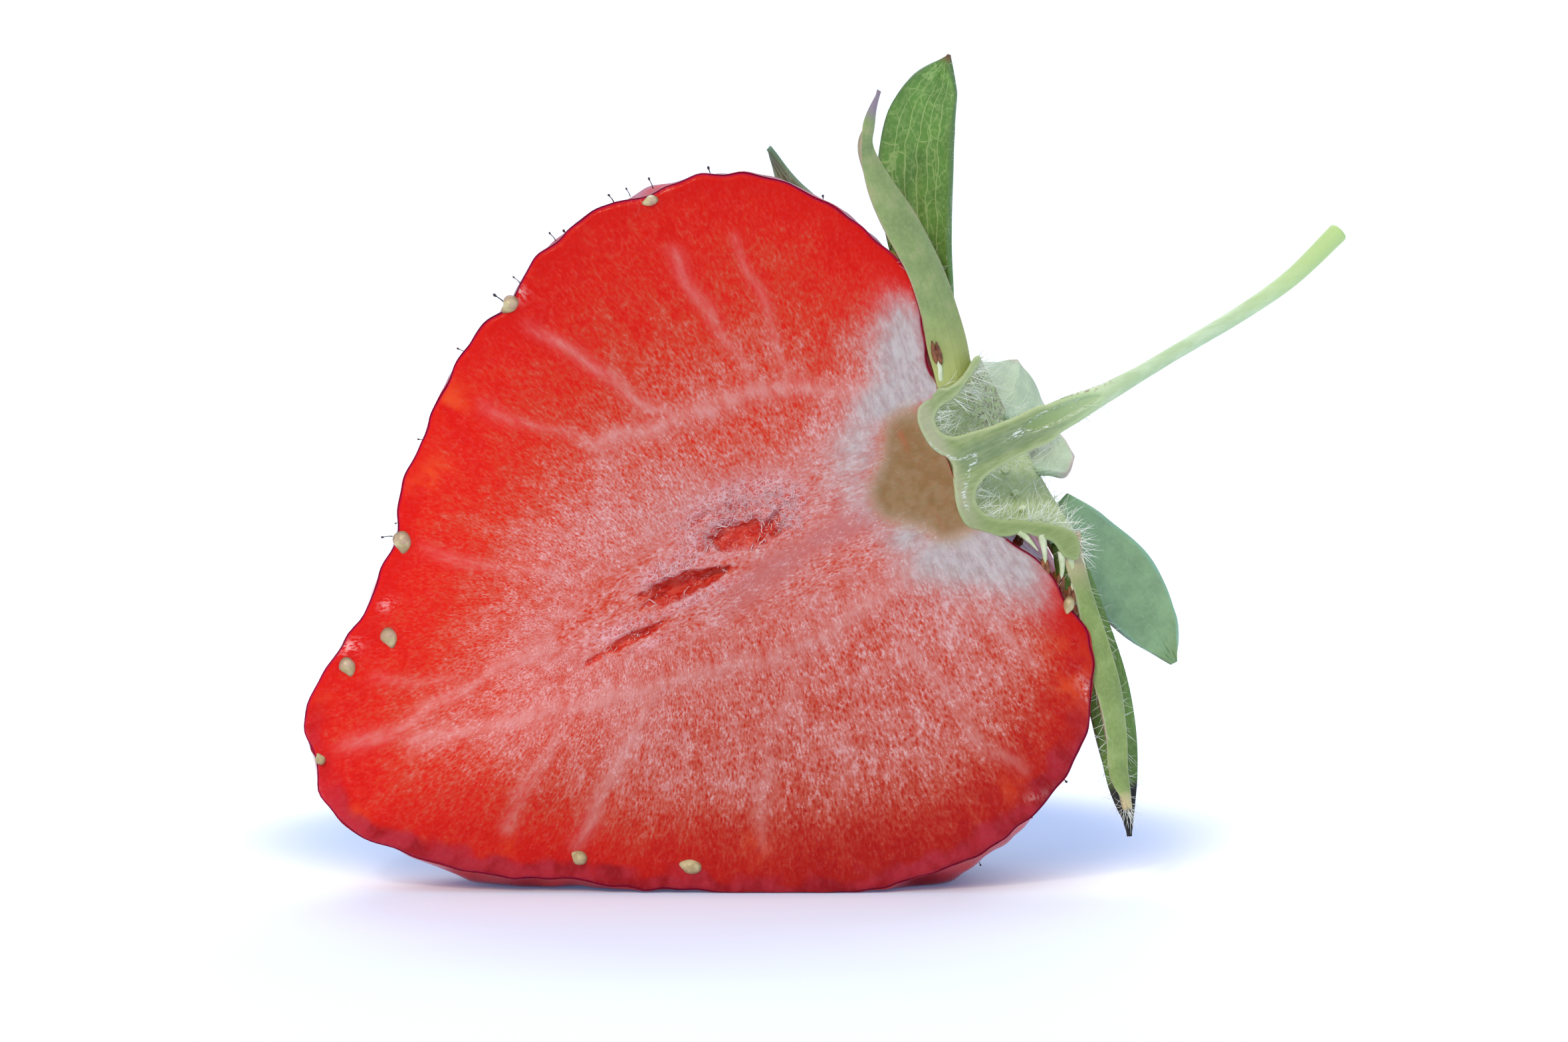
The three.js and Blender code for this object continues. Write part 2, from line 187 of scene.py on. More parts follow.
def points_of(piece, field="co"):
    """The piece's points in rows of three, or its normals there with the field "normal"."""
    values = np.empty(len(piece.data.vertices) * 3)
    piece.data.vertices.foreach_get(field, values)
    return values.reshape(-1, 3)


def move_points(piece, places):
    piece.data.vertices.foreach_set("co", np.ascontiguousarray(places, float).ravel())
    piece.data.update()


def open_up(piece):
    """Opens a piece in edit mode, with all of it selected."""
    take(piece)
    bpy.ops.object.mode_set(mode="EDIT")
    bpy.ops.mesh.select_all(action="SELECT")


def apply_modifier(piece, kind, **settings):
    take(piece)
    modifier = piece.modifiers.new(kind.title(), kind)
    for name, value in settings.items():
        setattr(modifier, name, value)
    bpy.ops.object.modifier_apply(modifier=modifier.name)


def note(piece, **notes):
    """Keeps a number, or a vector of three, for each point of the piece, for its material to read."""
    for name, values in notes.items():
        values = np.asarray(values, float)
        kind, field = ("FLOAT", "value") if values.ndim == 1 else ("FLOAT_VECTOR", "vector")
        attribute = piece.data.attributes.new(name, kind, "POINT")
        attribute.data.foreach_set(field, np.ascontiguousarray(values).ravel())


def heal(piece):
    """Merges doubled points and turns every face outwards."""
    open_up(piece)
    bpy.ops.mesh.remove_doubles(threshold=MERGE)
    bpy.ops.mesh.normals_make_consistent(inside=False)
    bpy.ops.object.mode_set(mode="OBJECT")


def dress(piece, finish, slot, *nodes):
    """Gives a finished piece its material and its body, and hides the CAD nodes that it stands for. slot:
    not used.
    """
    take(piece)
    bpy.ops.object.shade_smooth()
    piece.data.materials.clear()
    piece.data.materials.append(finish.material)
    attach(piece, "root")
    if nodes:
        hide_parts(*nodes)
    faces = sum(len(p.vertices) - 2 for p in piece.data.polygons)
    print(f"{piece.name}: {faces} triangles")


def placement(place, forward, outward, size):
    """A 4 x 4 placement in metres: +X goes forward, +Z outward, and size scales the three axes."""
    x = unit(np.asarray(forward, float))
    z = unit(outward - x * np.dot(outward, x))
    turn = np.stack([x, np.cross(z, x), z], axis=1)
    made = np.eye(4)
    made[:3, :3] = turn * np.asarray(size) * MM
    made[:3, 3] = np.asarray(place) * MM
    return made


def stamp(model, name, places, forwards, outwards, sizes):
    """One piece made of many copies of a small model, each with its own place, turn and size.

    It notes for each point how far through the model it comes, and a number that its copy has to itself.
    """
    shape = points_of(model)
    corners = np.ones((len(shape), 4))
    corners[:, :3] = shape
    faces = [tuple(face.vertices) for face in model.data.polygons]
    moved = [corners @ placement(*copy).T for copy in zip(places, forwards, outwards, sizes)]
    count, copies = len(shape), len(moved)
    mesh = bpy.data.meshes.new(name)
    mesh.from_pydata(
        np.vstack(moved)[:, :3].tolist(), [],
        [tuple(corner + count * i for corner in face) for i in range(copies) for face in faces],
    )
    piece = bpy.data.objects.new(name, mesh)
    bpy.context.scene.collection.objects.link(piece)
    share = np.tile(np.linspace(0, 1, count), copies)
    note(piece, share=share, copy=np.repeat(np.arange(copies) * GOLDEN_SHARE % 1, count))
    bpy.data.objects.remove(model)
    return piece


print("mesh tools are ready")

# %% [markdown]
# ## Tools for materials
# A material is a tree of small nodes. Written as Python expressions it reads like the recipe that it is:
# `Signal` wraps the output of a node, and `a * b + 1` adds the Math nodes for it. `Finish` is a material
# with one main shader, and its `node` method makes any node from its kind, its settings and its inputs.

# %% Signals
class Signal:
    """What comes out of a shader node, as something to calculate with."""

    def __init__(self, socket):
        self.socket = socket

    def _math(self, operation, *values):
        tree = self.socket.id_data
        return wire(tree, "Math", {"operation": operation}, dict(enumerate(values)))

    def __add__(self, other):
        return self._math("ADD", self, other)

    def __sub__(self, other):
        return self._math("SUBTRACT", self, other)

    def __rsub__(self, other):
        return self._math("SUBTRACT", other, self)

    def __mul__(self, other):
        return self._math("MULTIPLY", self, other)

    def __pow__(self, other):
        return self._math("POWER", self, other)

    def __abs__(self):
        return self._math("ABSOLUTE", self)

    __radd__ = __add__
    __rmul__ = __mul__

    def most(self, other):
        return self._math("MAXIMUM", self, other)

    def step(self, low, high, start=0.0, end=1.0):
        """start below low, end above high, and a smooth step between them. low may be over high."""
        bounds = {"Value": self, "From Min": low, "From Max": high, "To Min": start, "To Max": end}
        return wire(self.socket.id_data, "MapRange", {"interpolation_type": "SMOOTHSTEP"}, bounds)

    def other(self, output):
        """Another output of the same node."""
        return Signal(self.socket.node.outputs[output])

    def scaled(self, x, y, z):
        """A vector with its three parts multiplied."""
        return wire(self.socket.id_data, "VectorMath", {"operation": "MULTIPLY"}, {0: self, 1: (x, y, z)})

    def moved(self, other):
        """The sum of two vectors."""
        return wire(self.socket.id_data, "VectorMath", {"operation": "ADD"}, {0: self, 1: other})


def wire(tree, kind, settings, inputs, output=0):
    """A node of that kind: its settings are set first, then the values or links of its inputs."""
    node = tree.nodes.new("ShaderNode" + kind)
    for name, value in settings.items():
        if name == "stops":
            ramp = node.color_ramp.elements
            while len(ramp) < len(value):
                ramp.new(0.5)
            for element, (position, colour) in zip(ramp, value):
                element.position = position
                element.color = colour
        else:
            setattr(node, name, value)
    for name, value in inputs.items():
        if isinstance(value, Signal):
            tree.links.new(value.socket, node.inputs[name])
        else:
            node.inputs[name].default_value = value
    return Signal(node.outputs[output])


print("signals are ready")

# %% Finishes
def paint(colour):
    """A hex colour as Blender wants it, in linear light. Anything else comes back as it is."""
    if not isinstance(colour, str):
        return colour
    parts = [int(colour[i:i + 2], 16) / 255 for i in (1, 3, 5)]
    return (*[p / 12.92 if p < 0.04045 else ((p + 0.055) / 1.055) ** 2.4 for p in parts], 1.0)


class Finish:
    """A material with one Principled shader. Its constants are set on the shader's own sockets."""

    def __init__(self, name, **constants):
        self.material = bpy.data.materials.new(name)
        self.material.use_nodes = True
        self.tree = self.material.node_tree
        self.shader = self.tree.nodes["Principled BSDF"]
        for socket, value in constants.items():
            self.shader.inputs[socket.replace("_", " ")].default_value = value
        # Object coordinates in millimetres.
        self.place = self.node("TexCoord", output=3).scaled(1000, 1000, 1000)

    def node(self, kind, settings=None, inputs=None, output=0):
        return wire(self.tree, kind, settings or {}, inputs or {}, output)

    def noted(self, name, vector=False):
        """What the piece noted at its points under that name."""
        return self.node("Attribute", {"attribute_name": name}, output=1 if vector else 2)

    def noise(self, where, per_mm, detail=3.0, roughness=0.55):
        inputs = {"Vector": where, "Scale": per_mm, "Detail": detail, "Roughness": roughness}
        return self.node("TexNoise", {}, inputs)

    def blend(self, factor, a, b):
        """Colour a where factor is 0 and colour b where it is 1. Each is a hex colour or a signal."""
        inputs = {0: factor, 6: paint(a), 7: paint(b)}
        return self.node("Mix", {"data_type": "RGBA", "clamp_factor": True}, inputs, output=2)

    def ramp(self, where, *colours):
        """Colours in even steps, from where the signal is 0 to where it is 1."""
        stops = [(i / (len(colours) - 1), paint(colour)) for i, colour in enumerate(colours)]
        return self.node("ValToRGB", {"stops": stops}, {0: where})

    def feed(self, **links):
        """Links signals to the shader's sockets, such as Base_Color."""
        for socket, value in links.items():
            self.tree.links.new(value.socket, self.shader.inputs[socket.replace("_", " ")])

    def bump(self, height, strength, relief_mm):
        """Fine relief, that many millimetres deep where height goes from 0 to 1."""
        inputs = {"Height": height, "Strength": strength, "Distance": relief_mm * MM}
        self.feed(Normal=self.node("Bump", {}, inputs))


print("ripe red in linear light:", [round(v, 3) for v in paint("#d9200f")])

# %% [markdown]
# ## The camera
# The half is seen from in front of its cut face, a little from above. A long lens from about a forearm's
# length away gives the flat perspective of a close-up. The camera aims just right of the core.

# %% Camera
AIM = np.array([3.183, CUT_Y, 18.8])
CAMERA_UP = math.radians(6)
CAMERA_AWAY = 266.0
FRAME_PIXELS = 2359
PIXELS_PER_MM = 30.2  # at the cut face
SENSOR = 36.0

start_fresh()
eye = AIM + CAMERA_AWAY * np.array([0, -math.cos(CAMERA_UP), math.sin(CAMERA_UP)])
bpy.ops.object.camera_add(location=eye * MM, rotation=(math.pi / 2 - CAMERA_UP, 0, 0))
camera = bpy.context.object
camera.data.sensor_width = SENSOR
frame_width = FRAME_PIXELS / PIXELS_PER_MM
camera.data.lens = SENSOR * CAMERA_AWAY / frame_width
camera.data.clip_start = 0.01
camera.data.clip_end = 40
bpy.context.scene.camera = camera
print("lens:", round(camera.data.lens, 1), "mm")

# %% [markdown]
# ## The stage and its light
# The fruit lies on a plain white table under soft light. The sky is a tent of white cloth: bright and a
# little blue overhead, dimmer at the sides, so that the upright cut mirrors little of it. A warm, broad sun
# in front lights the cut. Two soft ones behind draw the pale shadows that fall forwards, and shine through
# the thin edges with the lamp there. A small lamp in front gives the wet cut some glints, and more are
# painted into its colour. The table's colour is painted shade: darker and bluer towards the front, with a
# painted blue shadow behind the fruit. It also has a painted faint blue glow, because the lamps alone leave
# its shade too grey. The Standard view keeps the reds as strong as they are.

# %% Floor
FLOOR_SIZE = 30.0
start_fresh()
bpy.ops.mesh.primitive_plane_add(size=FLOOR_SIZE, location=(0, 0, 0))
floor = new_piece("floor")
# Painted light: the table glows faintly blue, to fill its shade.
table_white = Finish(
    "table_white", Roughness=0.7, Specular_IOR_Level=0.2,
    Emission_Color=(0.3, 0.5, 1.0, 1.0), Emission_Strength=0.14,
)
# Painted shadow: a blue patch in the table's colour behind the fruit.
SHADE_MIDDLE, SHADE_HALF = (0, 12), (27, 19)  # mm; the blue shade behind the fruit

floor_x = table_white.node("SeparateXYZ", {}, {0: table_white.place})
floor_y = floor_x.other(1)
# Painted shade: the table's colour turns darker and bluer towards the front.
table_tone = table_white.blend(floor_y.step(-75, 40), "#dfebf2", "#ffffff")
shade_x = (floor_x - SHADE_MIDDLE[0]) * (1 / SHADE_HALF[0])
shade_y = (floor_y - SHADE_MIDDLE[1]) * (1 / SHADE_HALF[1])
in_shade = (shade_x * shade_x + shade_y * shade_y).step(1.2, 0.45)
table_white.feed(Base_Color=table_white.blend(in_shade, table_tone, "#adbed6"))
floor.data.materials.append(table_white.material)
print("floor:", FLOOR_SIZE, "m")

# %% Suns and lamps
# Each sun: its turn in degrees, strength, softness in degrees, and colour.
SUNS = {
    "front_sun": {"turn": (55, 0, -20), "strength": 0.95, "soft": 18, "colour": (1.0, 0.84, 0.42)},
    "back_sun": {"turn": (-42, 0, 20), "strength": 0.45, "soft": 25, "colour": (1.0, 1.0, 0.85)},
    "side_sun": {"turn": (-46, 0, -42), "strength": 0.45, "soft": 25, "colour": (1.0, 1.0, 0.85)},
}
LAMPS = {
    "back_lamp": {"at": (0.06, 0.30, 0.34), "size": 0.22, "watts": 0.4, "colour": (1.0, 0.97, 0.92)},
    "glint_lamp": {"at": (-0.16, -0.34, 0.30), "size": 0.04, "watts": 0.35, "colour": (1.0, 0.99, 0.97)},
}


def add_light(name, kind, strength, colour, **stance):
    start_fresh()
    bpy.ops.object.light_add(type=kind, **stance)
    light = bpy.context.object
    light.name = name
    light.data.energy = strength
    light.data.color = colour
    return light.data


for name, sun in SUNS.items():
    turn = [math.radians(part) for part in sun["turn"]]
    added = add_light(name, "SUN", sun["strength"], sun["colour"], rotation=turn)
    added.angle = math.radians(sun["soft"])
for name, lamp in LAMPS.items():
    towards = Vector(CALYX * MM) - Vector(lamp["at"])
    turn = towards.to_track_quat("-Z", "Y").to_euler()
    added = add_light(name, "AREA", lamp["watts"], lamp["colour"], location=lamp["at"], rotation=turn)
    added.size = lamp["size"]
print(len(SUNS), "suns and", len(LAMPS), "lamps")

# %% Sky
SKY_SIDES = (0.42, 0.48, 0.64, 1.0)
SKY_OVERHEAD = (0.74, 0.84, 1.12, 1.0)

world = bpy.data.worlds.new("studio_tent")
bpy.context.scene.world = world
world.use_nodes = True
sky = world.node_tree
upwards = wire(sky, "SeparateXYZ", {}, {0: wire(sky, "TexCoord", {}, {})}, output=2)
colours = {0: upwards.most(0), 6: SKY_SIDES, 7: SKY_OVERHEAD}
tent = wire(sky, "Mix", {"data_type": "RGBA"}, colours, output=2)
seen_directly = wire(sky, "LightPath", {}, {})
backdrop = wire(sky, "Mix", {"data_type": "RGBA"}, {0: seen_directly, 6: tent, 7: (1, 1, 1, 1)}, output=2)
sky.links.new(backdrop.socket, sky.nodes["Background"].inputs["Color"])
bpy.context.scene.view_settings.view_transform = "Standard"
print("sky from", SKY_SIDES[:3], "to", SKY_OVERHEAD[:3])

# %% [markdown]
# ## The skin's shape
# The outline of the cut is a curve through listed points. Behind it the fruit is round above its axis and
# squarer underneath, where it has sunk under its own weight. These are the CAD model's own rules, so that
# the finished skin lies where its solid is.

# %% The cut outline
CORE = np.array([-11.7, 0.0, 0.0])
OUTLINE = [
    [-0.3, 0.3], [-0.7, 1.9], [-0.8, 3.0], [0.5, 3.8], [0.8, 5.6], [1.5, 7.8], [1.7, 10.0], [0.7, 12.4],
    [-1.1, 15.2], [-3.9, 17.6], [-7.4, 18.7], [-11.0, 19.0], [-14.4, 18.1], [-18.5, 16.1], [-22.8, 13.1],
    [-26.6, 9.1], [-29.6, 5.7], [-33.3, 3.4], [-35.2, 1.3], [-35.9, -1.5], [-35.4, -4.2], [-33.7, -6.1],
    [-31.0, -8.6], [-25.0, -12.1], [-19.2, -15.3], [-14.3, -17.4], [-10.2, -18.4], [-6.4, -18.4],
    [-3.9, -17.8], [-1.2, -16.5], [0.9, -14.3], [2.4, -11.5], [2.7, -9.3], [2.0, -6.6], [0.8, -4.5],
    [-0.6, -2.9], [-0.5, -1.4],
]

edge = curve_at(OUTLINE, np.linspace(0, 1, 741), closed=True)[:-1] - CORE[[0, 2]]
edge_angle = np.arctan2(edge[:, 1], edge[:, 0])
order = np.argsort(edge_angle)


def outline_reach(angle):
    """Distance from the core to the cut outline, by direction."""
    return np.interp(angle, edge_angle[order], np.hypot(edge[:, 0], edge[:, 1])[order], period=2 * math.pi)


print("from core to tip:", round(float(outline_reach(math.pi)), 1), "mm")

# %% The skin behind the cut
DEPTH_SHARE = 0.88  # half depth over half height of the fruit's cross-section
ROUND_ABOVE, SQUARE_BELOW = 2.15, 3.0  # powers of the superellipse
SAG, SAG_DEPTH = 1.6, 3.0  # how far the underside bulges down, and how far behind the cut
TIP_FILL_AT, TIP_FILL_SPREAD, TIP_FILL = 160, 12, 1.1  # degrees, degrees, millimetres


def skin_point(directions):
    """The smooth skin in each direction from the core, in the fruit's frame."""
    x, y, z = directions.T
    from_axis = np.arccos(np.clip(x, -1, 1))
    around = np.arctan2(np.abs(y), z)
    lower = (1 - np.cos(around)) / 2
    near_tip = (np.degrees(from_axis) - TIP_FILL_AT) / TIP_FILL_SPREAD
    fill = TIP_FILL * np.exp(-(near_tip**2)) * np.sin(around) ** 2
    reach = mix(outline_reach(from_axis), outline_reach(-from_axis), lower) + fill
    power = mix(ROUND_ABOVE, SQUARE_BELOW, smooth(0.3, 0.9, lower))
    high = np.abs(np.cos(around)) ** power
    deep = (np.abs(np.sin(around)) / DEPTH_SHARE) ** power
    across = reach * np.sin(from_axis) * (high + deep) ** (-1 / power)
    places = [CORE[0] + reach * np.cos(from_axis), across * np.sin(around), across * np.cos(around)]
    points = np.stack(places, axis=1)
    facing_down = unit(points - CORE) @ DOWN
    sag = SAG * smooth(0, SAG_DEPTH, points[:, 1]) * smooth(0.5, 0.95, facing_down)
    return points + sag[:, None] * DOWN


print("deepest point of the skin:", skin_point(np.array([[0, 1.0, 0]])).round(1)[0])

# %% Where the achenes sit
ACHENE_TURNS = 262
SPIRAL_START, SPIRAL_POWER = 0.955, 0.92
GOLDEN_ANGLE = math.pi * (3 - math.sqrt(5))
CUT_MARGIN = 1.1
EDGE_DEPTH = 0.25
EDGE_ACHENES = [
    [-17.1, 16.4], [-26.9, 7.7], [-29.5, 3.6], [-32.0, 3.1], [-35.2, -0.5], [-25.4, -10.4], [-20.5, -13.1],
    [2.3, -8.8], [-8.6, 18.3],
]

turns = np.arange(ACHENE_TURNS)
from_stalk = mix(SPIRAL_START, -1, ((turns + 0.5) / ACHENE_TURNS) ** SPIRAL_POWER)
off_axis = np.sqrt(1 - from_stalk**2)
round_axis = turns * GOLDEN_ANGLE
spiral = np.stack([from_stalk, off_axis * np.sin(round_axis), off_axis * np.cos(round_axis)], axis=1)
spiral_seats = skin_point(spiral)
skin_seats = spiral_seats[(spiral[:, 1] > 0) & (spiral_seats[:, 1] > CUT_MARGIN)]
edge_seats = at_depth(EDGE_ACHENES, EDGE_DEPTH)
all_seats = np.vstack([skin_seats, edge_seats])
print(len(skin_seats), "achenes on the skin and", len(edge_seats), "at the cut")

# %% [markdown]
# ## The flesh
# On the fruit this is one swollen body: a thin skin, a juicy cortex, pale bundles that feed each achene,
# and a soft core that has torn open. A sphere is a good start, because its rings can follow both sides:
# the rings behind its equator become the skin, and those in front are pressed flat onto the cut, like
# ripples from rim to core. Displacing its points by formulas gives the pits, the bundles and the clefts.

# %% A sphere whose equator is the cut's rim
SEGMENTS = 460
SKIN_RINGS = 84
FACE_RINGS = 112

start_fresh()
bpy.ops.mesh.primitive_uv_sphere_add(segments=SEGMENTS, ring_count=SKIN_RINGS + FACE_RINGS, radius=1)
flesh = new_piece("cut_flesh")
ball = points_of(flesh)
ring = np.rint(np.arccos(np.clip(ball[:, 2], -1, 1)) / math.pi * (SKIN_RINGS + FACE_RINGS))
angle = np.arctan2(-ball[:, 1], ball[:, 0])
on_face = ring > SKIN_RINGS
print("rings:", int(ring.max()), " points on the face:", int(on_face.sum()))

# %% Pits in the skin
PIT_DEPTH, PIT_RADIUS, PIT_LIMIT = 0.6, 1.15, 1.2
SKIN_LUMP, SKIN_LUMP_SIZE = 0.22, 1.3


def pit_share(points):
    """How far each point lies in the achenes' pits: 0 outside and 1 in the middle of one."""
    total = np.zeros(len(points))
    for seat in all_seats:
        total += np.exp(-((points - seat) ** 2).sum(axis=1) / PIT_RADIUS**2)
    return np.minimum(total, PIT_LIMIT)


def pitted_skin(directions):
    """The skin with its pits, and a little plumper between them."""
    points = skin_point(directions)
    outward = unit(points - CORE)
    pits = pit_share(points)
    lumps = SKIN_LUMP * rough(points, SKIN_LUMP_SIZE) * (1 - np.minimum(pits, 1))
    return points + outward * (lumps - PIT_DEPTH * pits)[:, None], pits


RIM_FINER = 1.25  # over 1, the rings are closer together at the rim
back = np.clip(ring / SKIN_RINGS, 0, 1)
away = (1 - (1 - back) ** RIM_FINER) * math.pi / 2
directions = np.stack([np.sin(away) * np.cos(angle), np.cos(away), np.sin(away) * np.sin(angle)], axis=1)
directions[ring >= SKIN_RINGS, 1] = 0
bulging, pits = pitted_skin(directions)
print("deepest pit:", round(float(pits.max() * PIT_DEPTH), 2), "mm")

# %% The flat face, ring by ring
FACE_FINER = 1.35  # over 1, the rings are closer together at the rim
NOTCH_FADES = 1.0  # the rim's notches are gone this far in

inward = np.clip((ring - SKIN_RINGS) / FACE_RINGS, 0, 1) ** FACE_FINER
rim_reach = np.hypot(bulging[:, 0] - CORE[0], bulging[:, 2])
plain_reach = outline_reach(angle)
below_rim = inward * plain_reach
reach = plain_reach - below_rim + (rim_reach - plain_reach) * np.exp(-((below_rim / NOTCH_FADES) ** 2))
face = CORE + reach[:, None] * np.stack([np.cos(angle), np.zeros(len(angle)), np.sin(angle)], axis=1)
body = np.where(on_face[:, None], face, bulging)
flat = body[:, [0, 2]]

rim = body[ring == SKIN_RINGS]
rim_in_order = rim[np.argsort(np.arctan2(rim[:, 2], rim[:, 0] - CORE[0]))]
dense_rim = curve_at(rim_in_order, np.linspace(0, 1, 4 * len(rim)), closed=True)
from_rim = distance_to(body, dense_rim)
from_rim[~on_face] = 0
print("furthest from the rim:", round(float(from_rim.max()), 1), "mm")

# %% Clefts of the hollow heart
# Each pocket: middle, half length, half width, depth, how far it tapers towards the stalk, and its turn.
POCKETS = [
    {"at": (-14.6, 0.02), "long": 2.6, "wide": 0.6, "deep": 0.75, "taper": 0.6, "turn": -4},
    {"at": (-11.1, 1.15), "long": 2.3, "wide": 0.85, "deep": 0.55, "taper": 0.2, "turn": -12},
    {"at": (-9.4, 1.2), "long": 0.6, "wide": 0.35, "deep": 0.35, "taper": 0.3, "turn": 40},
    {"at": (-18.2, -1.35), "long": 1.9, "wide": 0.3, "deep": 0.35, "taper": 0.3, "turn": 2},
    {"at": (-20.5, -1.55), "long": 0.7, "wide": 0.2, "deep": 0.2, "taper": 0.2, "turn": 10},
    {"at": (-10.9, 2.5), "long": 0.8, "wide": 0.25, "deep": 0.2, "taper": 0.1, "turn": -30},
    {"at": (-12.8, 2.7), "long": 0.7, "wide": 0.22, "deep": 0.2, "taper": 0.1, "turn": 20},
]
RAGGED, RAGGED_SIZE = 0.35, 0.35  # how ragged the pockets' edges are, and how wide their teeth, in mm
TORN_MIDDLE, TORN_HALF = (-14, 0.5), (9, 4.5)  # all pockets and frills lie in here
# Where the core is torn into frills: middle, half sizes and strength.
FRILLS = [
    ((-11.2, 2.2), (2.9, 1.6), 1.0), ((-8.8, 1.7), (1.0, 1.2), 0.9), ((-15.4, 1.0), (1.9, 0.55), 0.8),
    ((-14.2, -0.8), (2.4, 0.35), 0.7), ((-18.8, -0.7), (1.8, 0.4), 0.7), ((-17.5, -2.0), (1.6, 0.35), 0.5),
]


def soft_spots(places, spots):
    """Several soft round spots, run together: 0 outside them, nearly 1 in the middle of a strong one."""
    left_out = np.ones(len(places))
    for (a, b), (half_a, half_b), strength in spots:
        spot = np.exp(-(((places[:, 0] - a) / half_a) ** 2) - ((places[:, 1] - b) / half_b) ** 2)
        left_out *= 1 - np.minimum(strength * spot, 1)
    return 1 - left_out


def pocket_depth(places, ragged):
    """How deep each place lies in a pocket, in millimetres."""
    depth = np.zeros(len(places))
    for pocket in POCKETS:
        turn = math.radians(pocket["turn"])
        away = places - pocket["at"]
        along = (away[:, 0] * math.cos(turn) + away[:, 1] * math.sin(turn)) / pocket["long"]
        across = (away[:, 1] * math.cos(turn) - away[:, 0] * math.sin(turn)) / pocket["wide"]
        across = across / (1 - pocket["taper"] * np.clip(along, -1, 0.98))
        out = np.sqrt(along**2 + across**2) + ragged * RAGGED
        depth = np.maximum(depth, pocket["deep"] * smooth(1.05, 0.5, out))
    return depth


def face_noise(where, size, seed):
    """Smooth noise at the chosen points of the face, and 0 at all others."""
    values = np.zeros(len(flat))
    values[where] = rough(np.column_stack([flat[where], np.zeros(where.sum())]), size, seed)
    return values


near_core = on_face & (np.abs(flat - TORN_MIDDLE) < TORN_HALF).all(axis=1)
hollow = np.zeros(len(body))
hollow[near_core] = pocket_depth(flat[near_core], face_noise(near_core, RAGGED_SIZE, 7.0)[near_core])
torn = soft_spots(flat, FRILLS) * on_face
print("deepest pocket:", round(float(hollow.max()), 2), "mm")

# %% Bundles, pith and pale flesh
# The pale bundles: spread in millimetres, strength, and [along, across] points on the cut.
BUNDLES = [
    (0.6, 1.0, [[-1.0, 5.2], [-3.4, 5.5], [-5.2, 6.6], [-7.5, 7.4], [-10.2, 7.7], [-12.9, 7.9],
                [-15.8, 8.3]]),
    (0.42, 0.8, [[-17.0, 15.9], [-16.4, 14.8], [-15.4, 13.2], [-14.3, 11.4], [-13.1, 9.5], [-11.8, 8.0]]),
    (0.4, 0.5, [[-8.6, 15.4], [-8.6, 14.1], [-8.1, 12.0], [-7.9, 10.0], [-7.7, 8.2]]),
    (0.32, 0.45, [[-5.4, 14.8], [-5.5, 12.5], [-5.6, 9.8], [-5.9, 7.2]]),
    (0.4, 0.5, [[-20.6, 12.4], [-19.5, 11.4], [-17.0, 9.1], [-15.2, 7.6]]),
    (0.38, 0.5, [[-26.1, 7.3], [-24.3, 5.5], [-22.0, 4.1], [-20.2, 3.2]]),
    (0.35, 0.4, [[-30.9, 2.0], [-29.5, 1.1], [-27.4, 0.6]]),
    (0.45, 0.8, [[-35.2, -0.4], [-33.6, -0.5], [-31.1, -0.8], [-28.8, -0.5], [-26.5, -0.2], [-22.9, 0.1]]),
    (0.6, 0.95, [[-0.8, -4.0], [-4.0, -4.1], [-7.5, -4.7], [-10.2, -5.1], [-13.1, -5.0], [-15.4, -4.5],
                 [-17.9, -4.1], [-20.2, -3.8], [-22.5, -3.2], [-25.2, -2.7], [-27.9, -2.3], [-30.4, -1.6]]),
    (0.45, 0.95, [[-18.1, -4.2], [-20.2, -5.7], [-22.5, -7.5], [-24.3, -9.1], [-25.3, -10.0]]),
    (0.4, 0.6, [[-23.4, -3.8], [-26.1, -5.9], [-27.9, -7.7]]),
    (0.4, 0.5, [[-10.4, -5.2], [-12.5, -7.3], [-14.3, -9.3], [-15.9, -11.8], [-16.8, -13.6]]),
    (0.32, 0.8, [[-6.1, -7.3], [-5.3, -9.1], [-5.0, -11.4], [-4.3, -13.6], [-3.1, -15.5]]),
    (0.36, 0.6, [[-2.9, -5.7], [-1.6, -8.2], [-0.6, -10.7]]),
]
CORE_BAND = [[-3.0, -0.2], [-5.6, -0.3], [-7.7, -0.6], [-10.2, -1.0], [-12.5, -1.6], [-14.6, -1.9]]
PITH = [[-2.2, 3.3], [-0.8, 3.3], [-0.5, 1.9], [-0.1, 0.5], [0.1, -1.4], [-0.2, -2.9], [-2.0, -3.1],
        [-3.0, -1.9], [-4.4, -0.8], [-4.4, 0.5], [-3.2, 1.8]]
PITH_SOFT = 0.9
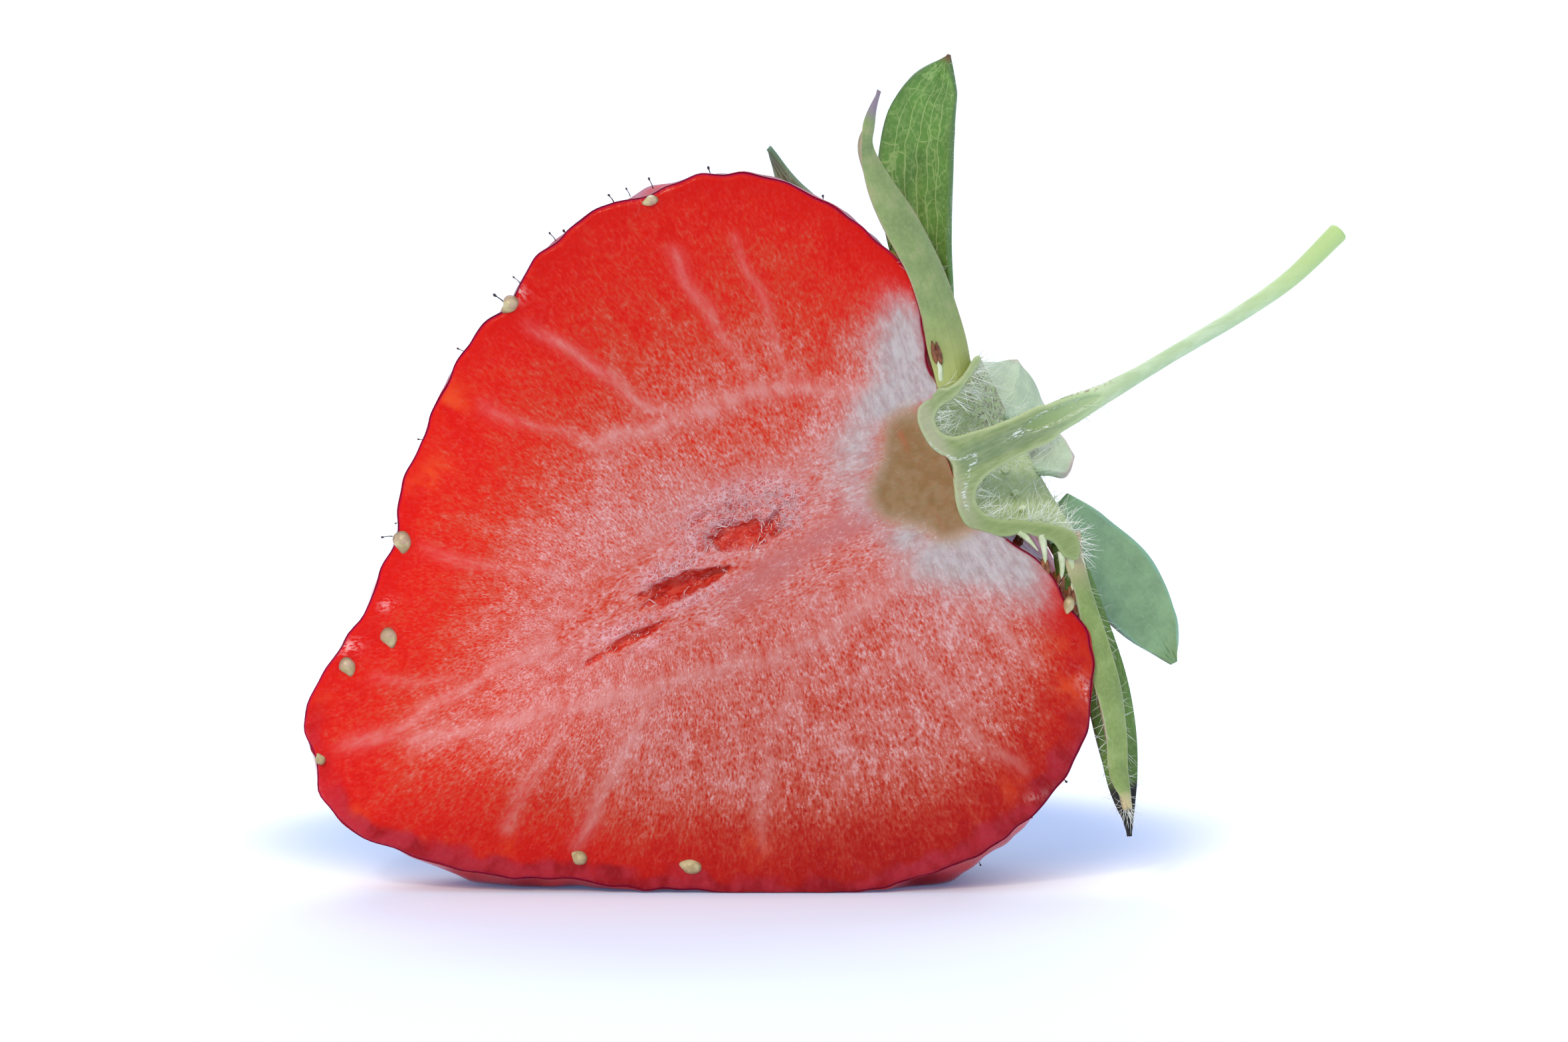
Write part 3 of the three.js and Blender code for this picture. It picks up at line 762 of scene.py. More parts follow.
# Pale, drier flesh beside the calyx and round the pith: middle, half sizes and strength.
PALE_SPOTS = [
    ((-0.2, 6.2), (1.7, 1.8), 0.85), ((-1.4, 4.7), (2.0, 0.8), 0.75), ((0.6, 7.9), (1.2, 1.5), 0.5),
    ((-1.4, 7.0), (2.6, 2.4), 0.15), ((0.1, 4.3), (1.3, 0.8), 0.95), ((-4.2, 2.6), (1.5, 1.5), 0.5),
    ((-5.2, 0.9), (1.5, 1.6), 0.25), ((-3.7, -2.2), (1.3, 1.0), 0.8), ((-0.9, -4.8), (2.2, 1.3), 0.9),
    ((0.3, -3.7), (1.2, 0.8), 0.95), ((0.7, -6.0), (1.4, 1.5), 0.75), ((1.1, -7.6), (1.2, 1.6), 0.3),
    ((-3.2, -4.2), (2.2, 1.1), 0.4), ((-1.5, -6.8), (2.8, 2.4), 0.2), ((-6.8, 2.2), (2.2, 2.4), 0.15),
    ((-10.6, 3.0), (3.0, 1.6), 0.22), ((-13.5, 3.4), (3.2, 1.6), 0.15), ((-2.0, 4.1), (1.7, 0.8), 0.7),
    ((-3.9, 3.4), (1.1, 1.0), 0.3), ((-2.2, -3.7), (1.7, 0.8), 0.8), ((-5.0, -0.2), (0.8, 1.9), 0.25),
]


def inside(places, outline, soft):
    """1 inside a closed outline of a few points and 0 outside, with a soft edge."""
    ring_points = curve_at(outline, np.linspace(0, 1, 121), closed=True)
    crossings = np.zeros(len(places), int)
    nearest = np.full(len(places), np.inf)
    x, y = places.T
    for (x1, y1), (x2, y2) in zip(ring_points[:-1], ring_points[1:]):
        spans = (y1 > y) != (y2 > y)
        crossings += spans & (x < x1 + (x2 - x1) * (y - y1) / (y2 - y1 + TINY))
        nearest = np.minimum(nearest, np.hypot(x - x1, y - y1))
    return smooth(-soft, soft, np.where(crossings % 2 == 1, nearest, -nearest))


BUNDLE_WANDER, BUNDLE_WANDER_SIZE = 0.4, 2.0

swings = [face_noise(on_face, BUNDLE_WANDER_SIZE, seed) for seed in (11, 12)]
wander = BUNDLE_WANDER * np.column_stack(swings)
bundle = np.zeros(len(body))
for spread, strength, line in BUNDLES:
    halo = near_line(flat + wander, line, spread)
    bundle = np.maximum(bundle, strength * (0.55 * halo + 0.45 * halo**6) * on_face)
bundle *= smooth(0.2, 3.0, from_rim)
core_band = near_line(flat + wander, CORE_BAND, 0.75) * on_face * smooth(-15.5, -11, flat[:, 0])
pith = inside(flat, PITH, PITH_SOFT) * on_face
pale = soft_spots(flat, PALE_SPOTS) * on_face
print(len(BUNDLES), "bundles; pith points:", int((pith > 0.5).sum()))

# %% How deep the red reaches
# From the rim inwards, by direction from the core: degrees, millimetres.
RED_DEPTH = [
    (-180, 5.0), (-160, 4.2), (-130, 3.2), (-90, 3.6), (-60, 3.0), (-42, 1.9), (-32, 1.5), (-22, 0.5),
    (-12, 0.2), (12, 0.2), (24, 0.5), (36, 2.2), (46, 5.2), (70, 8.0), (100, 7.6), (130, 6.0),
    (155, 4.4), (180, 5.0),
]
degrees, red_depths = np.array(RED_DEPTH).T
direction = np.degrees(np.arctan2(flat[:, 1], flat[:, 0] - CORE[0]))
paleness = smooth(0.1, 1.9, from_rim / np.interp(direction, degrees, red_depths))

# Underneath, the skin's own crimson shows through the thin edge of the cut.
BAND_WIDTH, BAND_WAVE_SIZE = 1.0, 1.1
bottom_edge = smooth(-183, -168, direction) * smooth(-38, -60, direction)
below = np.maximum(bottom_edge, smooth(172, 180, direction) * 0.6)
edge_waves = face_noise(on_face & (from_rim < 3), BAND_WAVE_SIZE, 2.0)
band = below * smooth(BAND_WIDTH * 1.25, BAND_WIDTH * 0.65, from_rim + 0.7 * edge_waves) * on_face
# Where light comes through the upper edge the red glows orange: middle, half sizes and strength.
GLOWS = [
    ((-21.8, 13.2), (0.9, 0.75), 1.0), ((-24.2, 10.3), (1.0, 0.7), 0.8), ((-33.9, 2.0), (0.6, 0.5), 0.6),
    ((-34.5, -3.9), (0.5, 0.6), 0.6), ((-28.4, -8.5), (0.8, 0.4), 0.5), ((-16.9, -13.6), (0.6, 0.8), 0.5),
    ((0.9, -12.4), (1.2, 2.2), 0.7), ((-3.9, -16.0), (1.0, 0.8), 0.4),
]
glow = soft_spots(flat, GLOWS) * on_face
# Painted glints of wet light, and whitish scraps of skin, by the achenes and on the right rim.
GLINTS = [
    ((1.3, -13.0), (0.35, 0.9), 1.0), ((-2.6, -16.9), (0.9, 0.3), 0.9), ((-8.5, 18.7), (1.0, 0.3), 0.9),
    ((-16.5, 16.7), (0.5, 0.45), 0.9), ((-31.4, 4.0), (0.6, 0.35), 0.9), ((-28.9, 5.2), (0.4, 0.3), 0.7),
]
glint = soft_spots(flat, GLINTS) * on_face
# The light falls from above, so the lower part is darker, but for the tip, which the floor lights. The
# upper side of the tip catches the most light.
dim = smooth(23, 2, in_part(body)[:, 2]) * (1 - 0.8 * smooth(-12, -30, flat[:, 0]))
lit = smooth(-13, -27, flat[:, 0]) * smooth(-8, -2, flat[:, 1])
# The calyx covers the rim at its seat, so the skin's line stops there.
at_seat = smooth(-2.0, -1.0, flat[:, 0]) * smooth(4.6, 3.9, flat[:, 1]) * smooth(-4.4, -3.8, flat[:, 1])
skin_line_at = from_rim + 3 * at_seat

# The fibres run like the lines of force round two poles on the axis: across it in the middle, fanning out
# towards tip and stalk. `fibre` counts along the fibres and across them, and its third number keeps the
# two sides of the axis from being mirror images.
FIBRE_MIDDLE, FIBRE_POLE = -5.5, 16.0
swirl = np.arccosh((flat[:, 0] - FIBRE_MIDDLE + 1j * flat[:, 1]) / FIBRE_POLE + 1e-9j)
fibre = np.stack([swirl.real, np.abs(swirl.imag), flat[:, 1] * 0.2], axis=1)
print("fibres reach", swirl.real.max().round(2), "along and", swirl.imag.max().round(2), "round")

# %% Relief of the cut face
EDGE_ROUND = 0.35
BUNDLE_RISE, PITH_SINK, WAVE, WAVE_SIZE = 0.05, 0.15, 0.07, 1.4
GRAIN, GRAIN_SIZE = 0.03, 0.3
FRILL_HIGH, FRILL_SIZE = 0.07, 0.36
HIGHEST = 0.25  # nothing stands further out of the cut than this
SOFT_REST = 0.02  # square millimetres; how softly the underside bends onto the table

rounding = EDGE_ROUND * (1 - np.sqrt(1 - np.clip(1 - from_rim / EDGE_ROUND, 0, 1) ** 2)) * (1 - at_seat)
waves = WAVE * face_noise(on_face, WAVE_SIZE, 3.0) + GRAIN * face_noise(on_face, GRAIN_SIZE, 5.0)
waves *= smooth(0, 0.8, from_rim)
waves += FRILL_HIGH * torn * face_noise(torn > 0.1, FRILL_SIZE, 8.0)
relief = rounding + waves + hollow + PITH_SINK * pith - BUNDLE_RISE * bundle
body[:, 1] += np.where(ring >= SKIN_RINGS, np.maximum(relief, -HIGHEST), 0)

in_world = in_part(body)
over_table = in_world[:, 2]
in_world[:, 2] = (over_table + np.sqrt(over_table**2 + SOFT_REST)) / 2
move_points(flesh, in_world * MM)
skin_side = np.where(on_face, 0.0, smooth(0, 0.25, np.clip(body[:, 1], 0, None)))
seen = {
    "from_rim": skin_line_at, "paleness": paleness, "bundle": bundle, "core_band": core_band, "pith": pith,
    "pale": pale, "hollow": hollow, "torn": torn, "band": band, "glow": glow, "glint": glint,
    "skin": skin_side, "pit": np.minimum(pits, 1) * ~on_face, "dim": dim, "lit": lit, "fibre": fibre,
}
note(flesh, **seen)
heal(flesh)
print("flesh from", in_world.min(axis=0).round(1), "to", in_world.max(axis=0).round(1), "mm")

# %% [markdown]
# ## The look of wet flesh
# The cut is never one colour. At the rim the juice is a pure red that lets light through, and towards the
# core the flesh turns salmon. Up close it is a net: deep red cells between pale walls, drawn out along the
# fibres. Bright arcs where a cut cell's wall catches the light, tiny sparks and glints are painted
# highlights, the orange glow at the thin edge is painted light, and painted shade darkens the lower part.
# The colours follow what the mesh noted about each point, broken up by noise and by Voronoi cells that are
# stretched along the fibres. Near the axis the fibres run along it instead, so each pattern is made twice
# and blended.

# %% Patterns of the flesh
pulp = Finish(
    "wet_strawberry_flesh", IOR=1.4, Specular_IOR_Level=0.14, Coat_Roughness=0.1, Coat_IOR=1.4,
    Subsurface_Weight=0.15, Subsurface_Radius=(1.0, 0.25, 0.1), Subsurface_Scale=0.0008,
)
at = {name: pulp.noted(name) for name in seen if name != "fibre"}
strand = pulp.noted("fibre", vector=True)
turned = pulp.node("Mapping", {}, {0: pulp.place, 2: (0, TILT, 0)})
off_axis_share = abs(pulp.node("SeparateXYZ", {}, {0: strand})).step(0.12, 0.3)


def along_fibres(far, near):
    """One pattern off the axis and another near it."""
    return far * off_axis_share + near * (1 - off_axis_share)


def fibrous(along, across, per_mm, detail=2.0):
    """Noise drawn out along the fibres: its lumps per unit of `fibre`, and per millimetre near the axis."""
    far = pulp.noise(strand.scaled(along, across, 1), 1.0, detail, 0.6)
    return along_fibres(far, pulp.noise(turned.scaled(0.45, 1, 1), per_mm, detail, 0.6))


broad = pulp.noise(pulp.place, 0.3, 2)
clusters = pulp.noise(pulp.place, 1.6, 3)
stripes = fibrous(3.5, 40, 1.4, 4)
mottle = fibrous(9, 17, 1.1)
fleck = fibrous(28, 62, 3.8)
grain = fibrous(75, 150, 9.0)
swayed = pulp.node("TexNoise", {}, {"Vector": pulp.place, "Scale": 2.2}, output=1)
warped = pulp.place.moved(swayed.scaled(0.7, 0.7, 0.7))


def pores(place, per_unit):
    """1 in the middle of each cell and 0 at its walls."""
    return pulp.node("TexVoronoi", {"feature": "F1"}, {"Vector": place, "Scale": per_unit}).step(0.5, 0.15)


def wall_net(per_mm, line):
    """Thin walls between wandering cells."""
    gap = pulp.node("TexVoronoi", {"feature": "DISTANCE_TO_EDGE"}, {"Vector": warped, "Scale": per_mm})
    return gap.step(line, line * 0.3)


pore = along_fibres(pores(strand.scaled(50, 105, 1), 1.0), pores(turned.scaled(0.7, 1, 1), 5.5))
print("flesh patterns are wired")

# %% From deep red to salmon
RIM_TONE, CORE_TONE = 0.15, 0.79  # the tone at the rim and in the middle; 0 is red and 1 salmon

calm = 1 - at["bundle"] * 0.5 - at["core_band"] * 0.5
# Painted shade: the tone also shifts by the noted dim, the darker lower part.
plain_tone = at["paleness"] * (CORE_TONE - RIM_TONE) + RIM_TONE - at["dim"] * 0.07
large_lumps = (broad - 0.5) * 0.35 + (clusters - 0.5) * 0.3 + (stripes - 0.5) * 0.35
small_lumps = (mottle - 0.5) * 0.45 + (fleck - 0.5) * 0.3 + (grain - 0.5) * 0.9
in_pores = pore * at["paleness"].step(0.0, 0.6, 0.06, 0.26)
tone = plain_tone + large_lumps + (small_lumps - in_pores) * calm
# Painted shade: each blend by dim gives a lit copy and a darker, shaded copy of a colour, for the lower
# part.
bright_flesh = pulp.ramp(tone, "#cc1206", "#d01f0e", "#c9381f", "#c85847", "#cb7870", "#d39a98")
shaded_flesh = pulp.ramp(tone, "#a3120d", "#ab1e12", "#b03423", "#b95140", "#c26e64", "#cc8f8a")
flesh_red = pulp.blend(at["dim"], bright_flesh, shaded_flesh)
strand_like = at["bundle"] * (stripes * 0.5 + fleck * 0.5).step(0.36, 0.6, 0.4, 1.0)
bundle_pink = pulp.blend(at["dim"], "#d3958f", "#c4877f")
with_bundles = pulp.blend(strand_like * 0.66, flesh_red, bundle_pink)
core_tone = pulp.blend(at["dim"], "#bd6a66", "#b5605a")
with_core = pulp.blend(at["core_band"] * stripes.step(0.2, 0.5, 0.6, 0.85), with_bundles, core_tone)
print("from red to salmon")

# %% Pale zones, pith, clefts, and cell walls with painted highlights
near_pale = at["pale"].step(0, 0.3)
pale_lumps = (fleck - 0.5) * 0.25 + (mottle - 0.5) * 0.25 + (grain - 0.5) * 0.35
pale_here = at["pale"] * 1.1 + pale_lumps * near_pale
pale_strands = pulp.blend((stripes * 0.5 + fleck * 0.5).step(0.35, 0.65), "#a69492", "#bdb4b2")
pale_tone = pulp.blend(at["pith"].step(0.0, 0.5), pale_strands, "#ac9a88")
with_pale = pulp.blend(pale_here.step(0.0, 0.95) * 0.97, with_core, pale_tone)
pith_core = pulp.blend(clusters.step(0.35, 0.65), "#88683f", "#91754f")
pith_tone = pulp.blend(at["pith"].step(0.4, 1.0), "#a2876b", pith_core)
with_pith = pulp.blend(at["pith"].step(0.05, 0.75) * (0.95 + (fleck - 0.5) * 0.3), with_pale, pith_tone)
in_hollow = pulp.blend(fleck.step(0.35, 0.65), "#bd2014", "#d24a38")
with_hollow = pulp.blend(at["hollow"].step(0.03, 0.14), with_pith, in_hollow)
torn_here = at["torn"].step(0.1, 0.6) * at["hollow"].step(0.5, 0.1)
torn_ground = pulp.blend(torn_here * clusters.step(0.4, 0.6, 0.25, 0.75), with_hollow, "#c4463b")
torn_net = wall_net(2.6, 0.11).most(wall_net(4.4, 0.16) * 0.7)
frill_walls = torn_net * torn_here * fleck.step(0.3, 0.6, 0.5, 1.0)
with_frills = pulp.blend(frill_walls * 0.65, torn_ground, "#e3bfc3")
# Painted highlights: bright arcs where cut cell walls catch the light.
arcs = wall_net(6.0, 0.14) * clusters.step(0.42, 0.6) * grain.step(0.45, 0.6)
arc_strength = at["paleness"].step(0.35, 1.0, 0.03, 0.4) * (1 - at["pith"])
with_arcs = pulp.blend(arcs * arc_strength, with_frills, "#e3c4c1")
# Painted highlights: tiny wet sparks.
sparks = grain.step(0.68, 0.78) * clusters.step(0.45, 0.62, 0.1, 0.8)
sparkling = pulp.blend(sparks * at["paleness"].step(0.0, 0.8, 0.06, 0.45), with_arcs, "#ead0ce")
# Painted glints on the rim, over the whitish scraps of skin noted in GLINTS.
glints = at["glint"] * (grain * 0.6 + fleck * 0.4).step(0.44, 0.56)
with_sparks = pulp.blend(glints * 0.85, sparkling, "#ecc9c4")
print("pale zones, pith, clefts and cell walls")

# %% Rim and skin
# Painted shade: the rim's red is darker in the lower part, by dim.
rim_red = pulp.blend(at["dim"], "#ca1005", "#a01710")
rim_share = at["from_rim"].step(1.6, 0.3) * (0.85 - mottle.step(0.5, 0.7) * 0.5) * at["pale"].step(0.5, 0.1)
juicy_rim = pulp.blend(rim_share * (1 - at["glint"]), with_sparks, rim_red)
# Painted light: orange glow where light comes through the thin edge.
glowing = pulp.blend(at["glow"] * mottle.step(0.35, 0.6) * 0.8, juicy_rim, "#dc5020")
band_tone = pulp.blend(mottle.step(0.35, 0.6), "#8c0f1a", "#a92836")
banded = pulp.blend(at["band"] * 0.85, glowing, band_tone)
# Painted shade: the skin's line is darker in the lower part, by dim.
skin_line = pulp.blend(at["dim"], "#a81548", "#8c1440")
crimson = pulp.blend(at["from_rim"].step(0.16, 0.04), banded, skin_line)
skin_red = pulp.blend(broad.step(0.35, 0.65), "#ad0d10", "#c41a12")
# Painted shade: the skin is darker in the achenes' pits.
skin_pitted = pulp.blend(at["pit"].step(0.25, 0.9) * 0.6, skin_red, "#880a12")
# Painted light: the upper side of the tip is made brighter by LIT_GAIN.
LIT_GAIN = (1.22, 1.08, 1.08, 1.0)
gain = {0: 1.0, 6: crimson, 7: LIT_GAIN}
brighter = pulp.node("Mix", {"data_type": "RGBA", "blend_type": "MULTIPLY"}, gain, output=2)
pulp.feed(Base_Color=pulp.blend(at["skin"], pulp.blend(at["lit"], crimson, brighter), skin_pitted))

wet = pulp.noise(pulp.place, 5.0, 2)
pulp.feed(Roughness=(0.42 + (wet - 0.5) * 0.3 - at["skin"] * 0.1).most(0.12))
pulp.feed(Coat_Weight=wet.step(0.45, 0.65, 0.0, 0.3) * at["hollow"].step(0.1, 0.0) + at["skin"] * 0.5)
fine_relief = fleck * 0.6 + grain * 0.8 + wet * 0.3 + frill_walls * 0.8
pulp.bump(fine_relief * (1 - at["skin"] * 0.85), 0.6, 0.06)
dress(flesh, pulp, "flesh", "flesh")

# %% [markdown]
# ## The achenes
# The seeds on a strawberry are its real fruits. Each is a small hard drop that lies in a pit, with its
# point towards the fruit's tip. One drop is modelled from a sphere and copied into every pit. The achenes
# beside the knife show whole at the cut's rim, so those have a finer model.

# %% One drop
def drop(name, segments, rings):
    """A drop with half lengths of 1, pointed at +X and a little flat underneath."""
    start_fresh()
    bpy.ops.mesh.primitive_uv_sphere_add(segments=segments, ring_count=rings, radius=1)
    piece = new_piece(name)
    x, y, z = points_of(piece).T
    narrow = 1 - 0.45 * smooth(-0.1, 1, x)
    move_points(piece, np.stack([x * 1.05, y * narrow, z * narrow * np.where(z < 0, 0.8, 1)], axis=1))
    return piece


def on_skin(seats, sink):
    """Where achenes lie, which way is out, and which way leads to the fruit's tip, in the part's frame."""
    out = unit(seats - CORE)
    to_tip = unit(np.array([-1.0, 0, 0]) - out * (out @ np.array([-1.0, 0, 0]))[:, None])
    return in_part(seats - out * sink), out @ FRUIT_AXES, to_tip @ FRUIT_AXES


ACHENE_HALF = np.array([0.72, 0.5, 0.42])
ACHENE_SINK = 0.5
LOWEST_ACHENE = 1.0  # below this the flattened underside has lost its own
chance = np.random.default_rng(24)

open_seats = skin_seats[in_part(skin_seats)[:, 2] > LOWEST_ACHENE]
places, outs, tips = on_skin(open_seats, ACHENE_SINK)
sizes = ACHENE_HALF * chance.uniform(0.88, 1.1, (len(places), 1))
achenes = stamp(drop("achene_drop", 8, 6), "achenes", places, tips, outs, sizes)
print(len(places), "achenes on the skin")

# %% Achenes at the cut
# Half sizes along and across the rim, for each of EDGE_ACHENES.
EDGE_HALF = [
    (0.5, 0.46), (0.6, 0.55), (0.55, 0.5), (0.52, 0.5), (0.3, 0.3), (0.5, 0.42), (0.68, 0.42), (0.5, 0.3),
    (0.45, 0.3),
]
EDGE_HALF_DEPTH, EDGE_SINK, EDGE_FORWARD = 0.5, 0.12, 0.05
DENTS, DENT_SIZE = 0.16, 0.9

edge_drop = drop("edge_drop", 24, 16)
smooth_drop = points_of(edge_drop)
move_points(edge_drop, smooth_drop * (1 + DENTS * rough(smooth_drop, DENT_SIZE, 6.0))[:, None])
edge_places, edge_outs, edge_tips = on_skin(edge_seats, EDGE_SINK)
edge_places -= EDGE_FORWARD * DEPTH
halves = at_depth(EDGE_HALF, EDGE_HALF_DEPTH)
edge_achenes = stamp(edge_drop, "cut_edge_achenes", edge_places, edge_tips, edge_outs, halves)
one_by_one = in_fruit(points_of(edge_achenes) / MM)[:, [0, 2]].reshape(len(halves), -1, 2)
from_middle = np.linalg.norm(one_by_one - one_by_one.mean(axis=1, keepdims=True), axis=2)
note(edge_achenes, outer=(from_middle / from_middle.max(axis=1, keepdims=True)).ravel())

seed_coat = Finish("ripe_achene", Coat_Weight=0.35, Coat_Roughness=0.25)
which, down_drop = seed_coat.noted("copy"), seed_coat.noted("share")
speckle = seed_coat.noise(seed_coat.place, 3.0, 4)
ripe_tan = seed_coat.blend(which.step(0.1, 0.9), "#dcae57", "#c98a3c")
darker_side = seed_coat.blend(speckle.step(0.45, 0.75) * 0.6, ripe_tan, "#8e4f20")
seed_coat.feed(Base_Color=seed_coat.blend(down_drop.step(0.1, 0.0) * 0.6, darker_side, "#a8452a"))
seed_coat.feed(Roughness=speckle.step(0.3, 0.7, 0.35, 0.55))
seed_coat.bump(speckle, 0.5, 0.04)
dress(achenes, seed_coat, "achene")

cream_coat = Finish(
    "cut_edge_achene", Specular_IOR_Level=0.3, Coat_Weight=0.25, Coat_Roughness=0.3, Subsurface_Weight=0.2,
    Subsurface_Radius=(1.0, 0.8, 0.4), Subsurface_Scale=0.0004,
)
ridges = cream_coat.noise(cream_coat.place, 2.0, 4)
cream = cream_coat.blend(ridges.step(0.35, 0.65), "#c9bb8c", "#a99468")
at_outline = cream_coat.noted("outer").step(0.5, 0.95) * ridges.step(0.2, 0.5, 0.4, 0.9)
browned = cream_coat.blend(at_outline, cream, "#8a6a48")
at_point = cream_coat.noted("share").step(0.75, 1.0) * 0.5
cream_coat.feed(Base_Color=cream_coat.blend(at_point, browned, "#b98a86"))
cream_coat.feed(Roughness=ridges.step(0.3, 0.7, 0.3, 0.55))
cream_coat.bump(ridges, 0.5, 0.05)
dress(edge_achenes, cream_coat, "achene")

# %% [markdown]
# ## Dried styles
# Each achene keeps the thread that its pollen once came through. It has dried to a dark, knobby little
# stick. One stick is grown in edit mode by extruding its end again and again.

# %% One thread, grown by extruding
def thread(name, sides, radius, steps):
    """A thread of length 1 along +Z. Each step: its length, the size of its end, and its lean to +X."""
    start_fresh()
    bpy.ops.mesh.primitive_circle_add(vertices=sides, radius=radius, fill_type="NGON")
    piece = new_piece(name)
    open_up(piece)
    for length, grows, lean in steps:
        move = {"value": (lean, 0, length)}
        bpy.ops.mesh.extrude_region_move(TRANSFORM_OT_translate=move)
        bpy.ops.transform.resize(value=(grows, grows, 1))
    bpy.ops.object.mode_set(mode="OBJECT")
    return piece


# Where dried styles stand up from the rim, as [along, across], and how long each is.
RIM_STYLES = [[-9.4, 18.9], [-8.2, 18.8], [-13.7, 18.4], [-16.2, 17.2], [-20.1, 15.1], [-27.3, 8.2],
              [-3.9, -17.3]]
RIM_STYLE_LENGTHS = [0.5, 0.6, 0.55, 0.5, 0.55, 0.6, 0.75]
RIM_STYLE_DEPTH = 0.5
STYLE_STEPS = [(0.35, 0.8, 0.02), (0.35, 0.9, 0.08), (0.12, 2.4, 0.04), (0.12, 1.1, 0.0), (0.06, 0.4, 0.0)]
STYLE_SINK, STYLE_THICK, STYLE_LEAN = 0.12, 0.05, 0.35

style_roots = np.vstack([open_seats, at_depth(RIM_STYLES, RIM_STYLE_DEPTH)])
feet, style_outs, style_tips = on_skin(style_roots, STYLE_SINK)
heights = np.append(chance.uniform(0.45, 0.85, len(open_seats)), RIM_STYLE_LENGTHS)
leans = unit(style_outs + chance.normal(0, STYLE_LEAN, style_outs.shape))
style = thread("style", 4, STYLE_THICK, STYLE_STEPS)
styles = stamp(style, "dried_styles", feet, style_tips, leans, heights)

dry_stick = Finish("dried_style")
tint = dry_stick.noise(dry_stick.place, 1.2, 2)
dry_stick.feed(Base_Color=dry_stick.blend(tint.step(0.4, 0.6), "#1d1720", "#4a2c20"))
dry_stick.feed(Roughness=tint.step(0.2, 0.8, 0.5, 0.8))
dress(styles, dry_stick, "achene")

# %% [markdown]
# ## The calyx
# Where the stalk meets the fruit it flares into a thin cup, whose rim carries the sepals. The knife went
# through it, so its wall shows as a pale green line that curls away from the stalk: short above, and long
# and drooping below. A grid is bent round the axis, so that its section turns from the upper one into the
# lower one on the way. The stalk is a tapered rod, and a voxel remesh fuses the two into one skin. Then
# bisect cuts the face, and a second remesh gives that face points of its own, for the split in the stalk.

# %% Rods and fused shapes
def rod(name, line, radii, steps=8, round_steps=4):
    """A round rod along a line of points in the part's frame, whose radius changes on the way."""
    start_fresh()
    bpy.ops.curve.primitive_bezier_curve_add()
    piece = new_piece(name)
    piece.data.splines.clear()
    spline = piece.data.splines.new("POLY")
    shares = np.linspace(0, 1, steps * (len(line) - 1) + 1)
    spline.points.add(len(shares) - 1)
    thickness = np.interp(shares, np.linspace(0, 1, len(radii)), radii)
    for point, place, radius in zip(spline.points, curve_at(line, shares), thickness):
        point.co = (*(place * MM), 1)
        point.radius = radius
    piece.data.dimensions = "3D"
    piece.data.bevel_depth = MM
    piece.data.bevel_resolution = round_steps
    piece.data.use_fill_caps = True
    take(piece)
    bpy.ops.object.convert(target="MESH")
    return bpy.context.object


def join(name, pieces):
    take(pieces[0])
    for piece in pieces[1:]:
        piece.select_set(True)
    bpy.ops.object.join()
    return new_piece(name)


REMESH_SCALE = 10  # the smallest voxel that the modifier takes is a tenth of a millimetre


def fuse(piece, voxel):
    """Makes overlapping shapes one skin of even faces, about a voxel wide, in millimetres."""
    move_points(piece, points_of(piece) * REMESH_SCALE)
    apply_modifier(piece, "REMESH", mode="VOXEL", voxel_size=voxel * REMESH_SCALE * MM)
    move_points(piece, points_of(piece) / REMESH_SCALE)


print("calyx tools are ready")

# %% Cup and foot of the stalk
# The section's outline as [along, from the axis], from the pith round the collar to the stalk.
UPPER_SECTION = [
    [-0.2, 0.0], [-0.3, 0.5], [-0.6, 0.9], [-0.85, 1.4], [-0.95, 2.1], [-0.9, 2.9], [-0.6, 3.45],
    [0.1, 3.75], [0.65, 3.95], [1.2, 3.75], [2.0, 3.95], [3.1, 4.6], [3.25, 4.4], [2.3, 3.7],
    [1.2, 3.12], [0.35, 2.97], [-0.05, 2.6], [-0.15, 2.2], [0.0, 1.7], [0.4, 1.38], [1.2, 1.24],
    [2.0, 1.14], [3.4, 1.04], [5.2, 0.95], [5.2, 0.0],
]
LOWER_SECTION = [
    [-0.2, 0.0], [-0.45, 0.5], [-0.6, 1.0], [-0.8, 1.6], [-0.9, 2.3], [-0.8, 3.0], [-0.25, 3.6], [0.4, 4.1],
    [0.95, 4.35], [1.6, 4.45], [2.2, 4.95], [2.8, 5.5], [3.0, 6.4], [3.6, 6.8], [4.0, 6.1], [4.0, 5.6],
    [3.6, 5.05], [2.9, 4.5], [1.8, 3.85], [0.75, 3.3], [0.25, 2.75], [0.1, 2.25], [0.35, 1.6], [1.2, 1.1],
    [5.2, 0.0],
]
CUP_STEPS = (150, 64)
CUP_TURN = math.radians(190)  # a little past the cut on both sides, for the knife to trim

start_fresh()
bpy.ops.mesh.primitive_grid_add(x_subdivisions=CUP_STEPS[0], y_subdivisions=CUP_STEPS[1], size=1)
cup = new_piece("cup")
grid = points_of(cup)
turn = math.pi / 2 + grid[:, 1] * CUP_TURN
lower_share = (1 - np.cos(np.clip(turn, 0, math.pi))) / 2
lower_line = np.vstack([LOWER_SECTION[:-1], [[3.3, 0.87], [5.2, 0.72], [5.2, 0.0]]])
upper_at = curve_at(UPPER_SECTION, grid[:, 0] + 0.5)
lower_at = curve_at(lower_line, grid[:, 0] + 0.5)
along, out = mix(upper_at, lower_at, lower_share[:, None]).T
out = np.maximum(out, 0)
move_points(cup, in_part(np.column_stack([along, out * np.sin(turn), out * np.cos(turn)])) * MM)
heal(cup)
open_up(cup)
bpy.ops.mesh.fill_holes(sides=0)
bpy.ops.object.mode_set(mode="OBJECT")
print("cup faces:", len(cup.data.polygons))

